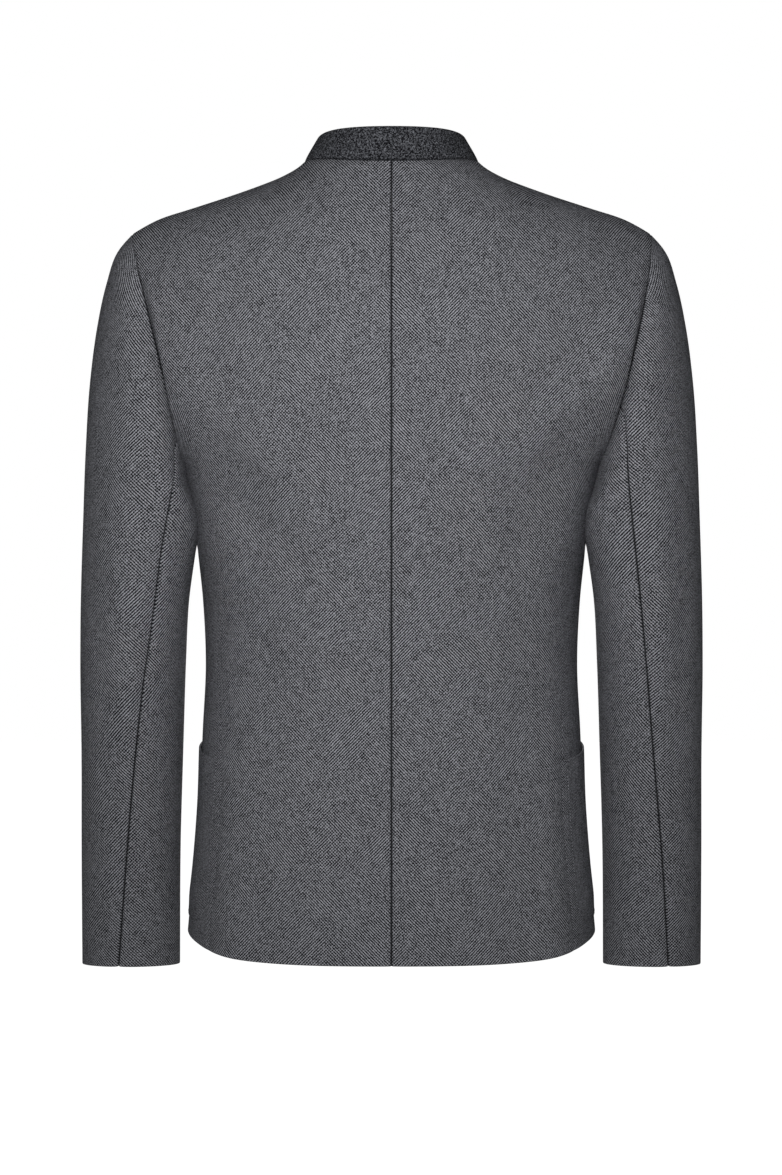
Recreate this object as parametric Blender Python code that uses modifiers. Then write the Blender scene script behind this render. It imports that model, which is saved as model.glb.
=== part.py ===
"""Man's stand-collar wool jacket, filled out as worn, with its neck, hem and cuffs open.

Metres, +Z up. The front faces -Y and the wearer's left is +X. The origin lies midway between the
points where the shoulder seams meet the collar. Every panel is a thin wall on one smooth surface,
worked out from the tables below and parted from its neighbours by a fine gap at the seams.
"""

from collections import namedtuple
from math import cos, pi, radians, sin, sqrt

import bmesh
import bpy
import numpy as np
from mathutils import Matrix, Vector

# Wall of each cloth, and the gap kept at a seam
CLOTH = 0.0020
FELT = 0.0030
POCKET_CLOTH = 0.0016
SEAM = 0.0003

# Level sections of the body from below the hem to the armpit; the widest line lies in front of the
# middle by side_forward, and back_depth and front_depth are measured from the middle
Section = namedtuple("Section", "height half_width side_forward back_depth front_depth")
BODY = (
    Section(-0.700, 0.1832, 0.010, 0.1240, 0.1270),
    Section(-0.660, 0.1792, 0.010, 0.1230, 0.1260),
    Section(-0.620, 0.1744, 0.011, 0.1208, 0.1245),
    Section(-0.560, 0.1694, 0.012, 0.1150, 0.1230),
    Section(-0.500, 0.1673, 0.015, 0.1080, 0.1225),
    Section(-0.440, 0.1650, 0.019, 0.1045, 0.1235),
    Section(-0.385, 0.1676, 0.024, 0.1075, 0.1270),
    Section(-0.335, 0.1728, 0.028, 0.1130, 0.1315),
    Section(-0.300, 0.1746, 0.026, 0.1175, 0.1345),
    Section(-0.268, 0.1770, 0.010, 0.1215, 0.1370),
)
UNDERARM = -0.268
SQUARING = 0.02

# Hem height round the body, in degrees from the centre back
HemPoint = namedtuple("HemPoint", "angle height")
HEM = (
    HemPoint(0, -0.6868),
    HemPoint(45, -0.6872),
    HemPoint(90, -0.6802),
    HemPoint(135, -0.6845),
    HemPoint(180, -0.6920),
)

# Side seam, in degrees from the centre back, by share of the way from hem to armpit
SidePoint = namedtuple("SidePoint", "share angle")
SIDE_SEAM = (
    SidePoint(0.0, 57),
    SidePoint(0.4, 58),
    SidePoint(0.7, 70),
    SidePoint(1.0, 90),
)

# Neckline, a tilted oval that the collar is sewn to; the shoulder seam meets it at NECK_POINT
NECK_HALF_WIDTH = 0.0760
NECK_HALF_DEPTH = 0.0790
NECK_FORWARD = 0.0090
NECK_BACK_HEIGHT = -0.0060
NECK_SIDE_RISE = 0.0080
NECK_FRONT_DROP = 0.0640
NECK_DROP_POWER = 3.0
NECK_POINT = radians(80)

# Upper edge of the stand collar, and its rounded front ends
COLLAR_HALF_WIDTH = 0.0650
COLLAR_HALF_DEPTH = 0.0710
COLLAR_FORWARD = 0.0080
COLLAR_BACK_HEIGHT = 0.0235
COLLAR_EVEN_DROP = 0.0110
COLLAR_FRONT_DROP = 0.0560
COLLAR_DROP_POWER = 5.5
COLLAR_ROWS = 4
CollarEnd = namedtuple("CollarEnd", "angle height_share")
COLLAR_ENDS = (
    CollarEnd(radians(178), 0.70),
    CollarEnd(radians(176), 0.88),
    CollarEnd(radians(172), 1.00),
)

# Shoulder seam, by share of the way from neck point to shoulder point
SHOULDER_POINT = np.array([0.2265, 0.0, -0.0640])
ShoulderPoint = namedtuple("ShoulderPoint", "share drop_share")
SHOULDER_SEAM = (
    ShoulderPoint(0.00, 0.000),
    ShoulderPoint(0.15, 0.213),
    ShoulderPoint(0.33, 0.380),
    ShoulderPoint(0.65, 0.637),
    ShoulderPoint(0.86, 0.807),
    ShoulderPoint(1.00, 1.000),
)

# Fullest level above the armpit, over the shoulder blades and over the chest
BLADES = np.array([0.0, 0.1240, -0.1500])
CHEST = np.array([0.0, -0.1360, -0.1750])
CHEST_TURN = radians(60)

# Directions in which the cloth reaches its upper edge, behind (mirrored in front); it rolls over the
# shoulder from just inside the neck point outwards, and leans to the neckline between
ROLL_AT_NECK_POINT = np.array([0.0, 0.60, -0.04])
ROLL_AT_ARMHOLE = np.array([0.0, 0.42, -0.02])
LEAN_TO_BACK_NECK = np.array([0.0, 0.16, -0.26])
LEAN_TO_FRONT_NECK = np.array([0.0, 0.10, -0.18])
Roll = namedtuple("Roll", "starts full strength")
BACK_ROLL = Roll(0.0, 1.2, 1.0)
FRONT_ROLL = Roll(0.4, 1.5, 0.7)
LEAN_AT_FULLEST = 0.3
SLOPE_STEP = 0.0100
ARMHOLE_PULL = 3

# Rings of the left sleeve from the armhole to the cuff, by distance along the arm
Ring = namedtuple(
    "Ring",
    "along outer_x outer_y outer_z inner_x inner_y inner_z back_reach front_reach egg bow back_lift",
)
SLEEVE = (
    Ring(0.000, 0.2265, 0.000, -0.0640, 0.1770, -0.010, -0.2680, 0.0720, 0.0720, 0.12, 1.0, 0.000),
    Ring(0.012, 0.2392, 0.000, -0.0795, 0.1772, 0.000, -0.2745, 0.0735, 0.0790, 0.10, 0.7, 0.000),
    Ring(0.030, 0.2490, 0.000, -0.1070, 0.1763, 0.008, -0.2810, 0.0725, 0.0840, 0.06, 0.4, 0.000),
    Ring(0.054, 0.2576, -0.001, -0.1450, 0.1742, 0.016, -0.2900, 0.0690, 0.0880, 0.03, 0.2, 0.000),
    Ring(0.082, 0.2640, -0.002, -0.1900, 0.1718, 0.022, -0.3020, 0.0660, 0.0900, 0.01, 0.0, 0.000),
    Ring(0.122, 0.2685, -0.003, -0.2500, 0.1708, 0.020, -0.3220, 0.0655, 0.0880, 0.00, 0.0, 0.000),
    Ring(0.167, 0.2714, -0.004, -0.3150, 0.1738, 0.014, -0.3460, 0.0655, 0.0830, 0.00, 0.0, 0.000),
    Ring(0.220, 0.2740, -0.006, -0.3800, 0.1786, 0.005, -0.3880, 0.0655, 0.0760, 0.00, 0.0, 0.000),
    Ring(0.276, 0.2754, -0.010, -0.4400, 0.1822, -0.008, -0.4400, 0.0650, 0.0670, 0.00, 0.0, 0.000),
    Ring(0.357, 0.2764, -0.022, -0.5200, 0.1860, -0.022, -0.5200, 0.0580, 0.0580, 0.00, 0.0, 0.000),
    Ring(0.449, 0.2788, -0.038, -0.6100, 0.1900, -0.038, -0.6100, 0.0505, 0.0505, 0.00, 0.0, 0.001),
    Ring(0.556, 0.2810, -0.056, -0.7172, 0.1924, -0.056, -0.7172, 0.0445, 0.0445, 0.00, 0.0, 0.004),
)

# Sleeve seams in degrees round each ring: 0 outside, 90 behind, 180 inside, 270 in front
ArmSeam = namedtuple("ArmSeam", "along back_left back_right front")
ARM_SEAMS = (
    ArmSeam(0.000, 135, 120, 225),
    ArmSeam(0.080, 137, 118, 223),
    ArmSeam(0.200, 124, 109, 220),
    ArmSeam(0.300, 107, 99, 217),
    ArmSeam(0.360, 99, 92, 215),
    ArmSeam(0.450, 89, 80, 212),
    ArmSeam(0.556, 78, 73, 210),
)

# The two sides differ a little in the set of the sleeve
Side = namedtuple("Side", "name sign armhole_bow back_seam")
LEFT = Side("left", 1, -0.0015, 0)
RIGHT = Side("right", -1, 0.0060, 1)

# Fineness of the panels; one armhole step is 15 degrees on the bodice and on the sleeve
NECK_COLUMNS = 6
SHOULDER_COLUMNS = 8
COLUMNS = NECK_COLUMNS + SHOULDER_COLUMNS
NECK_SHARE = NECK_COLUMNS / COLUMNS
LOWER_ROWS = 12
ARMHOLE_ROWS = 12
ARMHOLE_STEP = 180 / ARMHOLE_ROWS
NEAR = 0.001

# The left front laps over the right, which sinks under it
OVERLAP = 0.0200
UNDERLAP_SINK = CLOTH + 0.0009
SINK_START = 0.0600
SINK_END = 0.0220

# Patch pockets, in degrees from the centre back, with a mouth that stands a little open
POCKET_REAR = radians(61)
POCKET_FRONT = radians(142)
POCKET_REAR_TOP = -0.5203
POCKET_FRONT_TOP = -0.5050
POCKET_BOTTOM = -0.6630
POCKET_CORNER_SHARE = 0.13
POCKET_CORNER_RISE = 0.0240
POCKET_OFF = 0.0009
POCKET_MOUTH = 0.0012
POCKET_MOUTH_STARTS = 0.6
POCKET_COLUMNS = 14
POCKET_ROWS = 8

# Buttons on the centre front
BUTTON_COUNT = 5
BUTTON_TOP = -0.1000
BUTTON_PITCH = 0.1000
BUTTON_RADIUS = 0.0105
BUTTON_HEIGHT = 0.0042
BUTTON_RIM = 0.0022
BUTTON_DISH = 0.0012
BUTTON_OFF = 0.0005
BUTTON_STEPS = 20

# Colour and roughness of each material, and the angle from which an edge is sharp
Look = namedtuple("Look", "colour roughness")
WOOL = Look((0.135, 0.136, 0.148, 1.0), 0.90)
FELTED_WOOL = Look((0.046, 0.047, 0.054, 1.0), 0.95)
HORN = Look((0.030, 0.028, 0.027, 1.0), 0.35)
SHARP_EDGE = radians(40)


def hermite(share, start, end, leave, arrive):
    """Point of a cubic from start to end that leaves and arrives in the given directions."""
    square, cube = share**2, share**3
    return (
        (2 * cube - 3 * square + 1) * start
        + (cube - 2 * square + share) * leave
        + (3 * square - 2 * cube) * end
        + (cube - square) * arrive
    )


def smooth(place, rows):
    """Values at one place on a smooth curve through a table whose first column is the place."""
    table = np.array(rows, dtype=float)
    places, values = table[:, 0], table[:, 1:]
    slopes = np.gradient(values, places, axis=0)
    low = int(np.clip(np.searchsorted(places, place) - 1, 0, len(places) - 2))
    span = places[low + 1] - places[low]
    share = (place - places[low]) / span
    return hermite(share, values[low], values[low + 1], span * slopes[low], span * slopes[low + 1])


def ease(value, start, end):
    """Rises softly from 0 at start to 1 at end."""
    share = min(max((value - start) / (end - start), 0.0), 1.0)
    return share * share * (3 - 2 * share)


def unit(vector):
    return vector / np.linalg.norm(vector)


def oval(angle):
    """Across and depth of a slightly squared oval of half-size 1, with angle 0 at the back."""
    across = (sin(angle) + SQUARING * sin(3 * angle)) / (1 - SQUARING)
    depth = (cos(angle) - SQUARING * cos(3 * angle)) / (1 - SQUARING)
    return across, depth


def body(angle, height):
    """Point on the bodice below the armpit."""
    half_width, side_forward, back_depth, front_depth = smooth(height, BODY)
    across, depth = oval(angle)
    reach = back_depth + side_forward if depth > 0 else front_depth - side_forward
    return np.array([half_width * across, reach * depth - side_forward, height])


def hem_height(angle):
    turn = np.degrees(abs(angle)) % 360
    return smooth(min(turn, 360 - turn), HEM)[0]


def side_angle(share):
    return radians(smooth(share, SIDE_SEAM)[0])


def neckline(angle):
    across, _ = oval(angle)
    drop = NECK_FRONT_DROP * ((1 - cos(angle)) / 2) ** NECK_DROP_POWER
    height = NECK_BACK_HEIGHT + NECK_SIDE_RISE * sin(angle) ** 2 - drop
    return np.array(
        [NECK_HALF_WIDTH * across, NECK_HALF_DEPTH * cos(angle) - NECK_FORWARD, height]
    )


def collar_edge(angle):
    """Point on the upper edge of the collar."""
    across, _ = oval(angle)
    forward = (1 - cos(angle)) / 2
    drop = COLLAR_EVEN_DROP * forward + COLLAR_FRONT_DROP * forward**COLLAR_DROP_POWER
    depth = COLLAR_HALF_DEPTH * cos(angle) - COLLAR_FORWARD
    return np.array([COLLAR_HALF_WIDTH * across, depth, COLLAR_BACK_HEIGHT - drop])


def sleeve(angle, along, side):
    """Point on a sleeve, as drawn on the wearer's left; along 0 is the armhole seam."""
    ring = Ring(along, *smooth(along, SLEEVE))
    outer = np.array([ring.outer_x, ring.outer_y, ring.outer_z])
    inner = np.array([ring.inner_x, ring.inner_y, ring.inner_z])
    reach = ring.back_reach if sin(angle) > 0 else ring.front_reach
    swell = np.array([
        side.armhole_bow * ring.bow * sin(angle) ** 2,
        reach * sin(angle) * (1 - ring.egg * cos(angle)),
        ring.back_lift * sin(angle),
    ])
    return (outer + inner) / 2 + (outer - inner) / 2 * cos(angle) + swell


def armhole(angle, side):
    return sleeve(angle, 0.0, side)


def top_edge(column, front):
    """Neckline from the centre to the neck point, then the shoulder seam."""
    neck_point = neckline(NECK_POINT)
    if column < NECK_SHARE:
        centre = pi if front else 0.0
        return neckline(centre + (NECK_POINT - centre) * column / NECK_SHARE)
    share = (column - NECK_SHARE) / (1 - NECK_SHARE)
    drop_share = smooth(share, SHOULDER_SEAM)[0]
    return neck_point + (SHOULDER_POINT - neck_point) * np.array([share, share, drop_share])


def full_row(column, front, side):
    """Level row over the shoulder blades, or over the chest, out to the armhole."""
    centre = CHEST if front else BLADES
    edge = armhole(-pi / 2 if front else pi / 2, side)
    turn = column * CHEST_TURN
    across = sin(turn) / sin(CHEST_TURN)
    inward = (1 - cos(turn)) / (1 - cos(CHEST_TURN))
    return centre + (edge - centre) * np.array([across, inward, inward])


def rib(column, share, front, side):
    """Line up the bodice from the armpit level to the neckline or shoulder seam."""
    angle = pi - column * pi / 2 if front else column * pi / 2
    low = body(angle, UNDERARM)
    middle = full_row(column, front, side)
    top = top_edge(column, front)
    slope = (low - body(angle, UNDERARM - SLOPE_STEP)) / SLOPE_STEP
    rise = slope * (middle[2] - low[2])
    through = (top - low) / 2 * (1, LEAN_AT_FULLEST, 1)
    neck_lean = LEAN_TO_FRONT_NECK if front else LEAN_TO_BACK_NECK
    outward = max(column - NECK_SHARE, 0) / (1 - NECK_SHARE)
    roll = FRONT_ROLL if front else BACK_ROLL
    over = roll.strength * (ROLL_AT_NECK_POINT + outward * (ROLL_AT_ARMHOLE - ROLL_AT_NECK_POINT))
    shoulder = ease(column, roll.starts * NECK_SHARE, roll.full * NECK_SHARE)
    arrive = -(neck_lean + shoulder * (over - neck_lean)) / 2
    if front:
        arrive[1] = -arrive[1]
    if share < 0.5:
        return hermite(2 * share, low, middle, rise, through)
    return hermite(2 * share - 1, middle, top, through, arrive)


def bodice(column, row, front, side):
    """Point on the left bodice: column 0 at the centre, 1 at the side seam or armhole;
    row 0 at the hem, 1 at the armpit, 2 at the neckline or shoulder seam."""
    if column < 0:
        return bodice(-column, row, front, side) * (-1, 1, 1)
    if row < 1:
        seam = side_angle(row)
        angle = pi - column * (pi - seam) if front else column * seam
        hem = hem_height(angle)
        return body(angle, hem + row * (UNDERARM - hem))
    share = row - 1
    angle = pi * (1 - share)
    if front:
        angle = -angle
    pull = armhole(angle, side) - rib(1, share, front, side)
    return rib(column, share, front, side) + column**ARMHOLE_PULL * pull


def facing(surface, first, second):
    """Unit normal of a surface, from a small step each way."""
    step = 1e-4
    across = surface(first + step, second) - surface(first - step, second)
    along = surface(first, second + step) - surface(first, second - step)
    return unit(np.cross(across, along))


def bodice_facing(column, row, front, side):
    """Outward normal of the bodice; the fronts and backs share one along the shoulder seam."""
    def behind(c, r):
        return bodice(c, r, False, side)

    def before(c, r):
        return bodice(c, r, True, side)

    on_shoulder = row > 2 - NEAR and column > NECK_SHARE - NEAR
    under_arm = column > 1 - NEAR and abs(row - 1) < NEAR
    if on_shoulder or under_arm:
        return unit(facing(before, column, row) - facing(behind, column, row))
    return facing(before, column, row) if front else -facing(behind, column, row)


def sleeve_facing(angle, along, side):
    return -facing(lambda a, d: sleeve(a, d, side), angle, along)


def armhole_facings(angle, side):
    """Normals of bodice and sleeve at the armhole seam, mitred where the cloth turns outwards."""
    turn = angle % (2 * pi)
    front = turn > pi + NEAR
    row = turn / pi if front else 2 - turn / pi
    on_bodice = bodice_facing(1.0, row, front, side)
    on_sleeve = sleeve_facing(angle, 0.0, side)
    leaving = sleeve(angle, NEAR, side) - sleeve(angle, 0.0, side)
    if np.dot(leaving, on_bodice) < 0:
        on_bodice = on_sleeve = unit(on_bodice + on_sleeve)
    return on_bodice, on_sleeve


def seam_shift(grid, edges):
    """Moves that draw the named edges of a grid back from their seams by half the gap."""
    shift = np.zeros_like(grid)
    for edge in edges:
        rim, inside = {
            "first_row": (np.s_[0, :], np.s_[1, :]),
            "last_row": (np.s_[-1, :], np.s_[-2, :]),
            "first_column": (np.s_[:, 0], np.s_[:, 1]),
            "last_column": (np.s_[:, -1], np.s_[:, -2]),
        }[edge]
        step = grid[inside] - grid[rim]
        shift[rim] += SEAM / 2 * step / np.linalg.norm(step, axis=-1, keepdims=True)
    return shift


def look_material(name, look):
    material = bpy.data.materials.new(name)
    material.use_nodes = True
    shader = material.node_tree.nodes["Principled BSDF"]
    shader.inputs["Base Color"].default_value = look.colour
    shader.inputs["Roughness"].default_value = look.roughness
    shader.inputs["Metallic"].default_value = 0.0
    return material


def wall(name, outer, inner, look):
    """Closed sheet between two grids of points, as one named object with its own material."""
    rows, columns = outer.shape[:2]
    mesh = bpy.data.meshes.new(name)
    form = bmesh.new()
    bmesh.ops.create_grid(form, x_segments=columns - 1, y_segments=rows - 1, size=1.0)
    place = form.verts.layers.int.new("place")
    form.verts.ensure_lookup_table()
    for index, (vertex, point) in enumerate(zip(form.verts, outer.reshape(-1, 3))):
        vertex[place] = index
        vertex.co = point
    lining = bmesh.ops.extrude_face_region(form, geom=form.faces[:], use_keep_orig=True)
    inner_points = inner.reshape(-1, 3)
    for vertex in lining["geom"]:
        if isinstance(vertex, bmesh.types.BMVert):
            vertex.co = inner_points[vertex[place]]
    bmesh.ops.recalc_face_normals(form, faces=form.faces[:])
    bmesh.ops.triangulate(form, faces=form.faces[:], quad_method="SHORT_EDGE")
    form.to_mesh(mesh)
    form.free()
    mesh.shade_smooth()
    mesh.set_sharp_from_angle(angle=SHARP_EDGE)
    return finished(name, mesh, look_material(name, look))


def finished(name, mesh, material):
    mesh.materials.append(material)
    piece = bpy.data.objects.new(name, mesh)
    piece.parent = jacket
    parts.objects.link(piece)
    return piece


def bodice_panel(name, front, side, columns, edges, sink=None):
    lower = np.linspace(0, 1, LOWER_ROWS + 1)
    rows = np.concatenate([lower, np.linspace(1, 2, ARMHOLE_ROWS + 1)[1:]])
    grid = np.array([[bodice(c, r, front, side) for c in columns(r)] for r in rows])
    normals = np.array([[bodice_facing(c, r, front, side) for c in columns(r)] for r in rows])
    for index, row in enumerate(rows):
        if row > 1 + NEAR:
            angle = pi * (2 - row)
            normals[index, -1] = armhole_facings(-angle if front else angle, side)[0]
    if sink:
        depth = np.vectorize(sink)(grid[:, :, 0])
        grid = grid - normals * depth[:, :, None]
    shift = seam_shift(grid, edges)
    outer = (grid + shift) * (side.sign, 1, 1)
    inner = (grid + shift - CLOTH * normals) * (side.sign, 1, 1)
    return wall(name, outer, inner, WOOL)


def make_back(side):
    def columns(_):
        return np.linspace(0, 1, COLUMNS + 1)

    edges = ("first_column", "last_column", "last_row")
    bodice_panel("back_" + side.name, False, side, columns, edges)


def lapped_columns(row, side):
    """Columns of a front, with one more past the centre at the lapped edge."""
    first = 1 / COLUMNS
    lap = first * OVERLAP / bodice(first, row, True, side)[0]
    return np.concatenate([[-lap], np.linspace(0, 1, COLUMNS + 1)])


def make_front(side):
    def columns(row):
        return lapped_columns(row, side)

    def sink(across):
        return UNDERLAP_SINK * (1 - ease(across, SINK_END, SINK_START))

    edges = ("last_column", "last_row")
    bodice_panel("front_" + side.name, True, side, columns, edges, sink if side is RIGHT else None)


def make_sleeve(side):
    distances = [ring.along for ring in SLEEVE]
    seams = [np.radians(smooth(distance, ARM_SEAMS)) for distance in distances]
    pieces = {
        "upper_sleeve_": [(turns[2] - 2 * pi, turns[side.back_seam]) for turns in seams],
        "under_sleeve_": [(turns[side.back_seam], turns[2]) for turns in seams],
    }
    for name, spans in pieces.items():
        steps = round(np.degrees(spans[0][1] - spans[0][0]) / ARMHOLE_STEP)
        angles = [np.linspace(start, end, steps + 1) for start, end in spans]
        places = list(zip(angles, distances))
        grid = np.array([[sleeve(a, d, side) for a in turns] for turns, d in places])
        normals = np.array([[sleeve_facing(a, d, side) for a in turns] for turns, d in places])
        normals[0] = [armhole_facings(a, side)[1] for a in angles[0]]
        shift = seam_shift(grid, ("first_row", "first_column", "last_column"))
        outer = (grid + shift) * (side.sign, 1, 1)
        inner = (grid + shift - CLOTH * normals) * (side.sign, 1, 1)
        wall(name + side.name, outer, inner, WOOL)


def make_collar():
    """Felt band from one front end round the back of the neck to the other."""
    back = np.linspace(0, NECK_POINT, NECK_COLUMNS + 1)
    front = np.linspace(NECK_POINT, pi, NECK_COLUMNS + 1)
    knots = np.concatenate([back, front[1:]])
    columns = [CollarEnd(angle, 1.0) for angle in knots[:-1]] + list(COLLAR_ENDS[::-1])
    half = sorted(columns)

    def sewn(edge, angle):
        """Point of an edge on the straight runs between the panel's own points."""
        low = min(np.searchsorted(knots, angle, side="right") - 1, len(knots) - 2)
        share = (angle - knots[low]) / (knots[low + 1] - knots[low])
        return edge(knots[low]) * (1 - share) + edge(knots[low + 1]) * share

    def strip(end):
        bottom, top = sewn(neckline, end.angle), sewn(collar_edge, end.angle)
        shares = np.linspace(0, end.height_share, COLLAR_ROWS + 1)
        return [bottom + (top - bottom) * share for share in shares]

    left = np.array([strip(end) for end in half]).transpose(1, 0, 2)
    right = (left * (-1, 1, 1))[:, :0:-1]
    grid = np.concatenate([right, left], axis=1)
    across, up = np.gradient(grid, axis=1), np.gradient(grid, axis=0)
    normals = np.cross(up, across)
    normals /= np.linalg.norm(normals, axis=-1, keepdims=True)
    shift = seam_shift(grid, ("first_row",))
    wall("collar", grid + shift, grid + shift - FELT * normals, FELTED_WOOL)


def pocket_height(across, up):
    """Height on a pocket: across 0 at its rear edge, up 0 at its bottom edge with round corners."""
    top = POCKET_REAR_TOP + (POCKET_FRONT_TOP - POCKET_REAR_TOP) * across
    near_end = max(1 - min(across, 1 - across) / POCKET_CORNER_SHARE, 0)
    bottom = POCKET_BOTTOM + POCKET_CORNER_RISE * (1 - sqrt(1 - near_end**2))
    return bottom + (top - bottom) * up


def make_pocket(side):
    """Patch that lies on the body and reaches round its side; its columns crowd at the corners."""
    rows = np.linspace(0, 1, POCKET_ROWS + 1)
    spread = np.linspace(0, pi, POCKET_COLUMNS + 1)
    places = (1 - np.cos(spread)) / 2
    spots = [[(POCKET_REAR + (POCKET_FRONT - POCKET_REAR) * across, pocket_height(across, up))
              for across in places] for up in rows]
    grid = np.array([[body(*spot) for spot in row] for row in spots])
    normals = np.array([[-facing(body, *spot) for spot in row] for row in spots])
    gape = POCKET_MOUTH * np.sin(spread)
    lift = POCKET_OFF + np.array([ease(up, POCKET_MOUTH_STARTS, 1) * gape for up in rows])
    inner = (grid + lift[:, :, None] * normals) * (side.sign, 1, 1)
    outer = (grid + (lift + POCKET_CLOTH)[:, :, None] * normals) * (side.sign, 1, 1)
    wall("pocket_" + side.name, outer, inner, WOOL)


def front_row(height):
    """Row of the front at which its centre line reaches a height."""
    low, high = 0.0, 2.0
    for _ in range(40):
        middle = (low + high) / 2
        if bodice(0.0, middle, True, LEFT)[2] < height:
            low = middle
        else:
            high = middle
    return low


def make_button(number):
    """Turned button with a dished face and a raised rim, on the centre front."""
    name = f"button_{number}"
    profile = [
        (0.0, BUTTON_HEIGHT - BUTTON_DISH),
        (BUTTON_RADIUS - 2 * BUTTON_RIM, BUTTON_HEIGHT - BUTTON_DISH),
        (BUTTON_RADIUS - BUTTON_RIM, BUTTON_HEIGHT),
        (BUTTON_RADIUS - BUTTON_RIM / 2, BUTTON_HEIGHT),
        (BUTTON_RADIUS, BUTTON_HEIGHT - BUTTON_DISH),
        (BUTTON_RADIUS, BUTTON_DISH),
        (BUTTON_RADIUS - BUTTON_RIM / 2, 0.0),
        (0.0, 0.0),
    ]
    mesh = bpy.data.meshes.new(name)
    points = [(radius, 0, height) for radius, height in profile]
    mesh.from_pydata(points, [(i, i + 1) for i in range(len(points) - 1)], [])
    piece = finished(name, mesh, look_material(name, HORN))
    turn = piece.modifiers.new("turn", "SCREW")
    turn.steps = turn.render_steps = BUTTON_STEPS
    turn.use_merge_vertices = True
    turn.merge_threshold = 0.00001
    row = front_row(BUTTON_TOP - BUTTON_PITCH * (number - 1))
    normal = bodice_facing(0.0, row, True, LEFT)
    seat = bodice(0.0, row, True, LEFT) + BUTTON_OFF * normal
    tilt = Vector((0, 0, 1)).rotation_difference(Vector(normal)).to_matrix().to_4x4()
    piece.matrix_world = Matrix.Translation(seat) @ tilt


for old in list(bpy.data.objects):
    bpy.data.objects.remove(old, do_unlink=True)

parts = bpy.data.collections.new("stand_collar_jacket")
bpy.context.scene.collection.children.link(parts)
jacket = bpy.data.objects.new("jacket", None)
parts.objects.link(jacket)

for hand in (LEFT, RIGHT):
    make_back(hand)
    make_front(hand)
    make_sleeve(hand)
    make_pocket(hand)
make_collar()
for position in range(1, BUTTON_COUNT + 1):
    make_button(position)
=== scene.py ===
"""Man's stand-collar wool jacket, filled out as worn: its cloth, seams, creases, buttons and stitches.

Metres, +Z up. The front faces -Y, the back +Y, and the wearer's left is +X.
"""

from collections import namedtuple
from math import atan, cos, pi, radians, sin, sqrt

import bmesh
import bpy
import numpy as np
from mathutils import Matrix, Vector
from mathutils.bvhtree import BVHTree


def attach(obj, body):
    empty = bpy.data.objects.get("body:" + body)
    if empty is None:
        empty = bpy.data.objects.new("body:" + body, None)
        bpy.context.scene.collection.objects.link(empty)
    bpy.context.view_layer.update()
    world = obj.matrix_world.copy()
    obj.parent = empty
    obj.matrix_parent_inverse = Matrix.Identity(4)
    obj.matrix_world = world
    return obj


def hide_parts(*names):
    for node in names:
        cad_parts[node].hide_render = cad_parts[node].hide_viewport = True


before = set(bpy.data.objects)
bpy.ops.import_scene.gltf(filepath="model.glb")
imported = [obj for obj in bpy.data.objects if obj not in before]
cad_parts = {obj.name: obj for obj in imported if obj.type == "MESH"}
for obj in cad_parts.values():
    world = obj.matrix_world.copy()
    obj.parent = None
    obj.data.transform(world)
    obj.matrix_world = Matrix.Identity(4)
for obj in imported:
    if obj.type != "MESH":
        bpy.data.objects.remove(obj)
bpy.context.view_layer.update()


# The two halves of the back, in fine grey worsted wool. They are cut flat, shaped by the seam down the
# centre back and by the armholes, and pressed. The cloth falls clean from the shoulder blades, with
# soft drag lines under the arms and a hollow at the waist.

# Level sections of the body from below the hem to the armpit; the widest line lies in front of the
# middle by side_forward
Section = namedtuple("Section", "height half_width side_forward back_depth front_depth")
BODY = (
    Section(-0.700, 0.1832, 0.010, 0.1240, 0.1270),
    Section(-0.660, 0.1792, 0.010, 0.1230, 0.1260),
    Section(-0.620, 0.1744, 0.011, 0.1208, 0.1245),
    Section(-0.560, 0.1694, 0.012, 0.1150, 0.1230),
    Section(-0.500, 0.1673, 0.015, 0.1080, 0.1225),
    Section(-0.440, 0.1650, 0.019, 0.1045, 0.1235),
    Section(-0.385, 0.1676, 0.024, 0.1075, 0.1270),
    Section(-0.335, 0.1728, 0.028, 0.1130, 0.1315),
    Section(-0.300, 0.1746, 0.026, 0.1175, 0.1345),
    Section(-0.268, 0.1770, 0.010, 0.1215, 0.1370),
)
UNDERARM = -0.268
SQUARING = 0.02

# Hem height and side seam, in degrees from the centre back
HemPoint = namedtuple("HemPoint", "angle height")
HEM = (
    HemPoint(0, -0.6868),
    HemPoint(45, -0.6866),
    HemPoint(70, -0.6808),
    HemPoint(90, -0.6785),
    HemPoint(135, -0.6845),
    HemPoint(180, -0.6920),
)
SidePoint = namedtuple("SidePoint", "share angle")
SIDE_SEAM = (
    SidePoint(0.0, 57),
    SidePoint(0.4, 58),
    SidePoint(0.7, 70),
    SidePoint(1.0, 90),
)

# Neckline, shoulder seam and the fullest level over the shoulder blades and the chest
NECK_HALF_WIDTH = 0.0785
NECK_HALF_DEPTH = 0.0790
NECK_FORWARD = 0.0090
NECK_BACK_HEIGHT = -0.0054
NECK_SIDE_RISE = 0.0064
NECK_FRONT_DROP = 0.0640
NECK_DROP_POWER = 3.0
NECK_POINT = radians(80)
NECK_SHARE = 6 / 14
SHOULDER_POINT = np.array([0.2265, 0.0, -0.0640])
ShoulderPoint = namedtuple("ShoulderPoint", "share drop_share")
SHOULDER_SEAM = (
    ShoulderPoint(0.00, 0.000),
    ShoulderPoint(0.03, 0.075),
    ShoulderPoint(0.08, 0.148),
    ShoulderPoint(0.15, 0.216),
    ShoulderPoint(0.33, 0.380),
    ShoulderPoint(0.65, 0.637),
    ShoulderPoint(0.86, 0.807),
    ShoulderPoint(1.00, 1.000),
)
BLADES = np.array([0.0, 0.1240, -0.1500])
CHEST = np.array([0.0, -0.1360, -0.1750])
CHEST_TURN = radians(60)

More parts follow.
